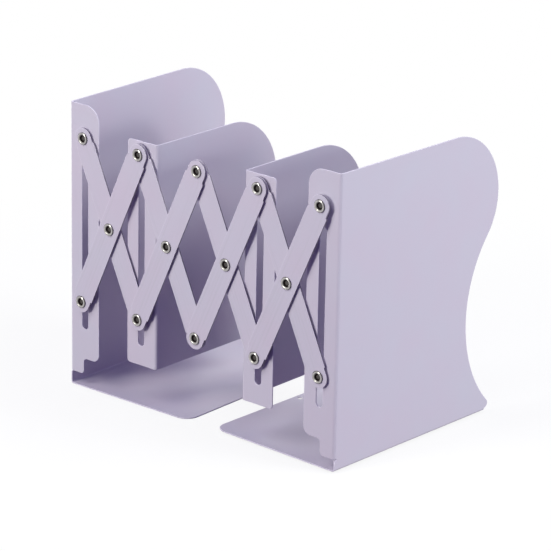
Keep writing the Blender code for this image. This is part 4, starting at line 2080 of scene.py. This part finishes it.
    def build_rings(self) -> None:
        """Make the washers and spacers of every body."""
        layers = self.shop.linkage.layers
        gap = self.shop.stock.seat_gap
        spans = {
            RingKind.REAR: (gap, layers["back_rear"] - gap),
            RingKind.BARS: (layers["back_front"] + gap, layers["front_rear"] - gap),
            RingKind.SPACER: (gap, layers["front_rear"] - gap),
        }
        for (kind, body), seats in self._sorted(self._rings()).items():
            values = {
                "Inside": self.shop.linkage.hole_radius,
                "Outside": self.washer_radius,
                "Rear": spans[kind][0],
                "Front": spans[kind][1],
                "Edge Radius": self.washer_edge,
                "Rail Radius": self.rail_radius,
                "Weld": self.shop.stock.weld,
                "Facets": self.washer_facets,
                "Steps": self.steps,
                "Turn": self.turn,
                "Finish": self.shop.finishes[Slot.ZINC],
            }
            places = [self.shop.linkage.pivot(seat.column, seat.row) for seat in seats]
            points = point_object(f"{kind.value}_{body}", places)
            rings = formed(points, self.shop.shapes.washer, values)
            nodes = [f"{kind.value}_{seat.suffix}" for seat in seats]
            self.shop.deliver(rings, Slot.ZINC, body, nodes)

    def build(self) -> None:
        """Make all the hardware."""
        self.build_rivets()
        self.build_rings()


@dataclass(frozen=True)
class Pads:
    """Two thin pads that carry the raised right base."""

    shop: Shop
    inset: float = 3.2 * MM
    width: float = 16.0 * MM
    length: float = 34.0 * MM
    corner: float = 3.0 * MM
    end_inset: float = 10.0 * MM
    foot_setback: float = 5.0 * MM

    def build(self) -> None:
        """Make the front and the rear pad."""
        linkage = self.shop.linkage
        across = self.inset + self.width / 2
        rear = linkage.plate_depth - self.foot_setback
        depths = {
            "front": self.end_inset + self.length / 2,
            "rear": rear - self.end_inset - self.length / 2,
        }
        half = Vector((self.width / 2, self.length / 2))
        signs = ((-1, -1), (1, -1), (1, 1), (-1, 1))
        corners = [(half.x * x, half.y * y, self.corner) for x, y in signs]
        flat = rounded(corners, self.shop.stock.chord_gap)
        turn = Matrix.Rotation(-linkage.splay, 2)
        corner = Vector((linkage.width / 2, linkage.flange_front))
        for name, depth in depths.items():
            middle = corner + turn @ Vector((-across, depth))
            outline = [middle + turn @ point for point in flat]
            curve = outline_curve(f"pad_{name}_formed", outline, [])
            values = {
                "Thickness": self.shop.stock.base_raise - self.shop.stock.seat_gap,
                "Finish": self.shop.finishes[Slot.RUBBER],
                **self.shop.rim_values,
            }
            pad = formed(curve, self.shop.shapes.plate, values)
            self.shop.deliver(pad, Slot.RUBBER, "right_end", [f"pad_{name}"])


@dataclass(frozen=True)
class Lamp:
    """A soft square lamp aimed at the bookend, which metal and gloss mirror only where it has glare."""

    name: str
    place: tuple[float, float, float]
    size: float
    power: float
    colour: tuple[float, float, float]
    target: tuple[float, float, float] = (0.0, 0.0, 0.09)
    glare: bool = True

    def build(self) -> None:
        """Hang the lamp."""
        light = bpy.data.lights.new(self.name, "AREA")
        light.size = self.size
        light.energy = self.power
        light.color = self.colour
        item = bpy.data.objects.new(self.name, light)
        item.visible_glossy = self.glare
        bpy.context.scene.collection.objects.link(item)
        away = Vector(self.place) - Vector(self.target)
        turn = away.to_track_quat("Z", "Y").to_matrix().to_4x4()
        item.matrix_world = Matrix.Translation(self.place) @ turn


@dataclass(frozen=True)
class Studio:
    """Camera, floor, world and lamps.

    The camera and glossy rays see a white floor, with a share of true shading that ends where the
    shadow does. Other rays see the floor in its bounce colour.
    """

    frame_pixels: int = 551
    focal_pixels: float = 3059.3
    sensor: float = 36.0
    camera_place: tuple[float, float, float] = (1.19707, -1.39466, 0.71581)
    yaw: float = 0.7095
    pitch: float = 0.3318
    roll: float = 0.0198
    floor_half: float = 6.0
    floor_colour: tuple[float, float, float] = (0.98, 0.98, 0.98)
    bounce_colour: tuple[float, float, float] = (0.08, 0.06, 0.11)
    shadow_share: float = 0.15
    shadow_near: float = 0.15
    shadow_far: float = 0.45
    fill_strength: float = 0.26
    fill_colour: tuple[float, float, float] = (0.24, 0.14, 1.0)
    front_colour: tuple[float, float, float] = (0.985, 1.0, 0.885)
    lamp_colour: tuple[float, float, float] = (0.95, 1.0, 0.908)

    def build_camera(self) -> None:
        """Set the camera where the photograph was taken from."""
        data = bpy.data.cameras.new("photo_camera")
        data.sensor_width = self.sensor
        data.lens = self.focal_pixels / self.frame_pixels * self.sensor
        item = bpy.data.objects.new("photo_camera", data)
        bpy.context.scene.collection.objects.link(item)
        level = math.cos(self.pitch)
        ahead = Vector((-math.sin(self.yaw) * level, math.cos(self.yaw) * level, -math.sin(self.pitch)))
        level_right = Vector((math.cos(self.yaw), math.sin(self.yaw), 0))
        level_up = level_right.cross(ahead)
        right = math.cos(self.roll) * level_right + math.sin(self.roll) * level_up
        up = math.cos(self.roll) * level_up - math.sin(self.roll) * level_right
        turn = Matrix((right, up, -ahead)).transposed().to_4x4()
        item.matrix_world = Matrix.Translation(self.camera_place) @ turn
        bpy.context.scene.camera = item

    def _seen(self, wiring: Wiring) -> bpy.types.NodeSocket:
        """Tell rays from the camera, and rays that metal or glass sends on, from the others.

        Args:
            wiring: nodes of the floor or the world.

        Returns:
            Socket with 1 for such a ray and 0 for any other.
        """
        path = wiring.node("ShaderNodeLightPath")
        seen = wiring.math("MAXIMUM", path.outputs["Is Camera Ray"], path.outputs["Is Glossy Ray"])
        return wiring.math("MAXIMUM", seen, path.outputs["Is Transmission Ray"])

    def build_floor(self) -> None:
        """Lay a plain pale floor that keeps the bookend's shadow."""
        mesh = bpy.data.meshes.new("floor")
        half = self.floor_half
        corners = [(-half, -half, 0), (half, -half, 0), (half, half, 0), (-half, half, 0)]
        mesh.from_pydata(corners, [], [(0, 1, 2, 3)])
        floor = bpy.data.objects.new("floor", mesh)
        bpy.context.scene.collection.objects.link(floor)
        material = bpy.data.materials.new("pale_floor")
        material.use_nodes = True
        wiring = Wiring(material.node_tree)
        material.node_tree.nodes.remove(material.node_tree.nodes["Principled BSDF"])
        shown = wiring.node("ShaderNodeBsdfDiffuse", {"Color": (*self.floor_colour, 1.0)}).outputs[0]
        plain = wiring.node("ShaderNodeBsdfDiffuse", {"Color": (*self.bounce_colour, 1.0)}).outputs[0]
        white = wiring.node("ShaderNodeEmission", {"Strength": 1.0}).outputs[0]
        place = wiring.node("ShaderNodeTexCoord").outputs["Object"]
        away = wiring.node("ShaderNodeVectorMath", {0: place}, operation="LENGTH").outputs["Value"]
        share = wiring.ramp(away, self.shadow_near, self.shadow_far, self.shadow_share, 0.0)
        front = wiring.node("ShaderNodeMixShader", {0: share, 1: white, 2: shown}).outputs[0]
        feeds = {0: self._seen(wiring), 1: plain, 2: front}
        whole = wiring.node("ShaderNodeMixShader", feeds).outputs[0]
        target = material.node_tree.nodes["Material Output"]
        wiring.feed(target.inputs["Surface"], whole)
        mesh.materials.append(material)

    def build_world(self) -> None:
        """Fill the room with plain soft light."""
        world = bpy.data.worlds.new("soft_room")
        world.use_nodes = True
        bpy.context.scene.world = world
        wiring = Wiring(world.node_tree)
        background = world.node_tree.nodes["Background"]
        fill = [part * self.fill_strength for part in self.fill_colour]
        wiring.feed(background.inputs["Color"], wiring.blend(self._seen(wiring), fill, WHITE))

    def build_lamps(self) -> None:
        """Hang the lamps: a key from the front left, two at the right side, and weak ones all round."""
        front, other = self.front_colour, self.lamp_colour
        lamps = [
            Lamp("front_left_lamp", (-0.42, -1.62, 0.59), size=0.46, power=17.8, colour=front),
            Lamp("front_high_lamp", (-0.22, -1.11, 1.43), size=0.8, power=12.0, colour=front),
            Lamp("side_high_lamp", (1.57, 0.73, 1.44), size=0.9, power=26.6, colour=other),
            Lamp("side_low_lamp", (2.13, 0.45, 0.40), size=0.75, power=23.5, colour=other),
            Lamp("back_lamp", (-1.09, 1.88, 1.10), size=1.2, power=5.0, colour=other),
            Lamp("rear_lamp", (-0.10, 2.20, 0.30), size=0.3, power=8.0, colour=other, glare=False),
            Lamp("left_lamp", (-2.10, -0.10, 0.30), size=0.5, power=14.0, colour=other, glare=False),
        ]
        for lamp in lamps:
            lamp.build()

    def build(self) -> None:
        """Set up the whole studio."""
        self.build_camera()
        self.build_floor()
        self.build_world()
        self.build_lamps()
        bpy.context.scene.view_settings.view_transform = "Standard"


def main() -> None:
    """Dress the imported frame."""
    logging.basicConfig(level=logging.INFO, format="%(message)s")
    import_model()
    stock = Stock()
    linkage = Linkage(stock)
    shop = Shop(stock, linkage, Shapes(), Finishes())
    last = linkage.bays
    Studio().build()
    EndPlate(shop, "left_end_plate", "left_end", 0, Pointing.RIGHT).build()
    EndPlate(shop, "right_end_plate", "right_end", last, Pointing.LEFT, raised=True).build()
    Divider(shop, "divider_1", "left_divider", 1, Pointing.LEFT).build()
    Divider(shop, "divider_2", "right_divider", last - 1, Pointing.RIGHT).build()
    Bars(shop).build()
    Hardware(shop).build()
    Pads(shop).build()


if __name__ == "__main__":
    main()
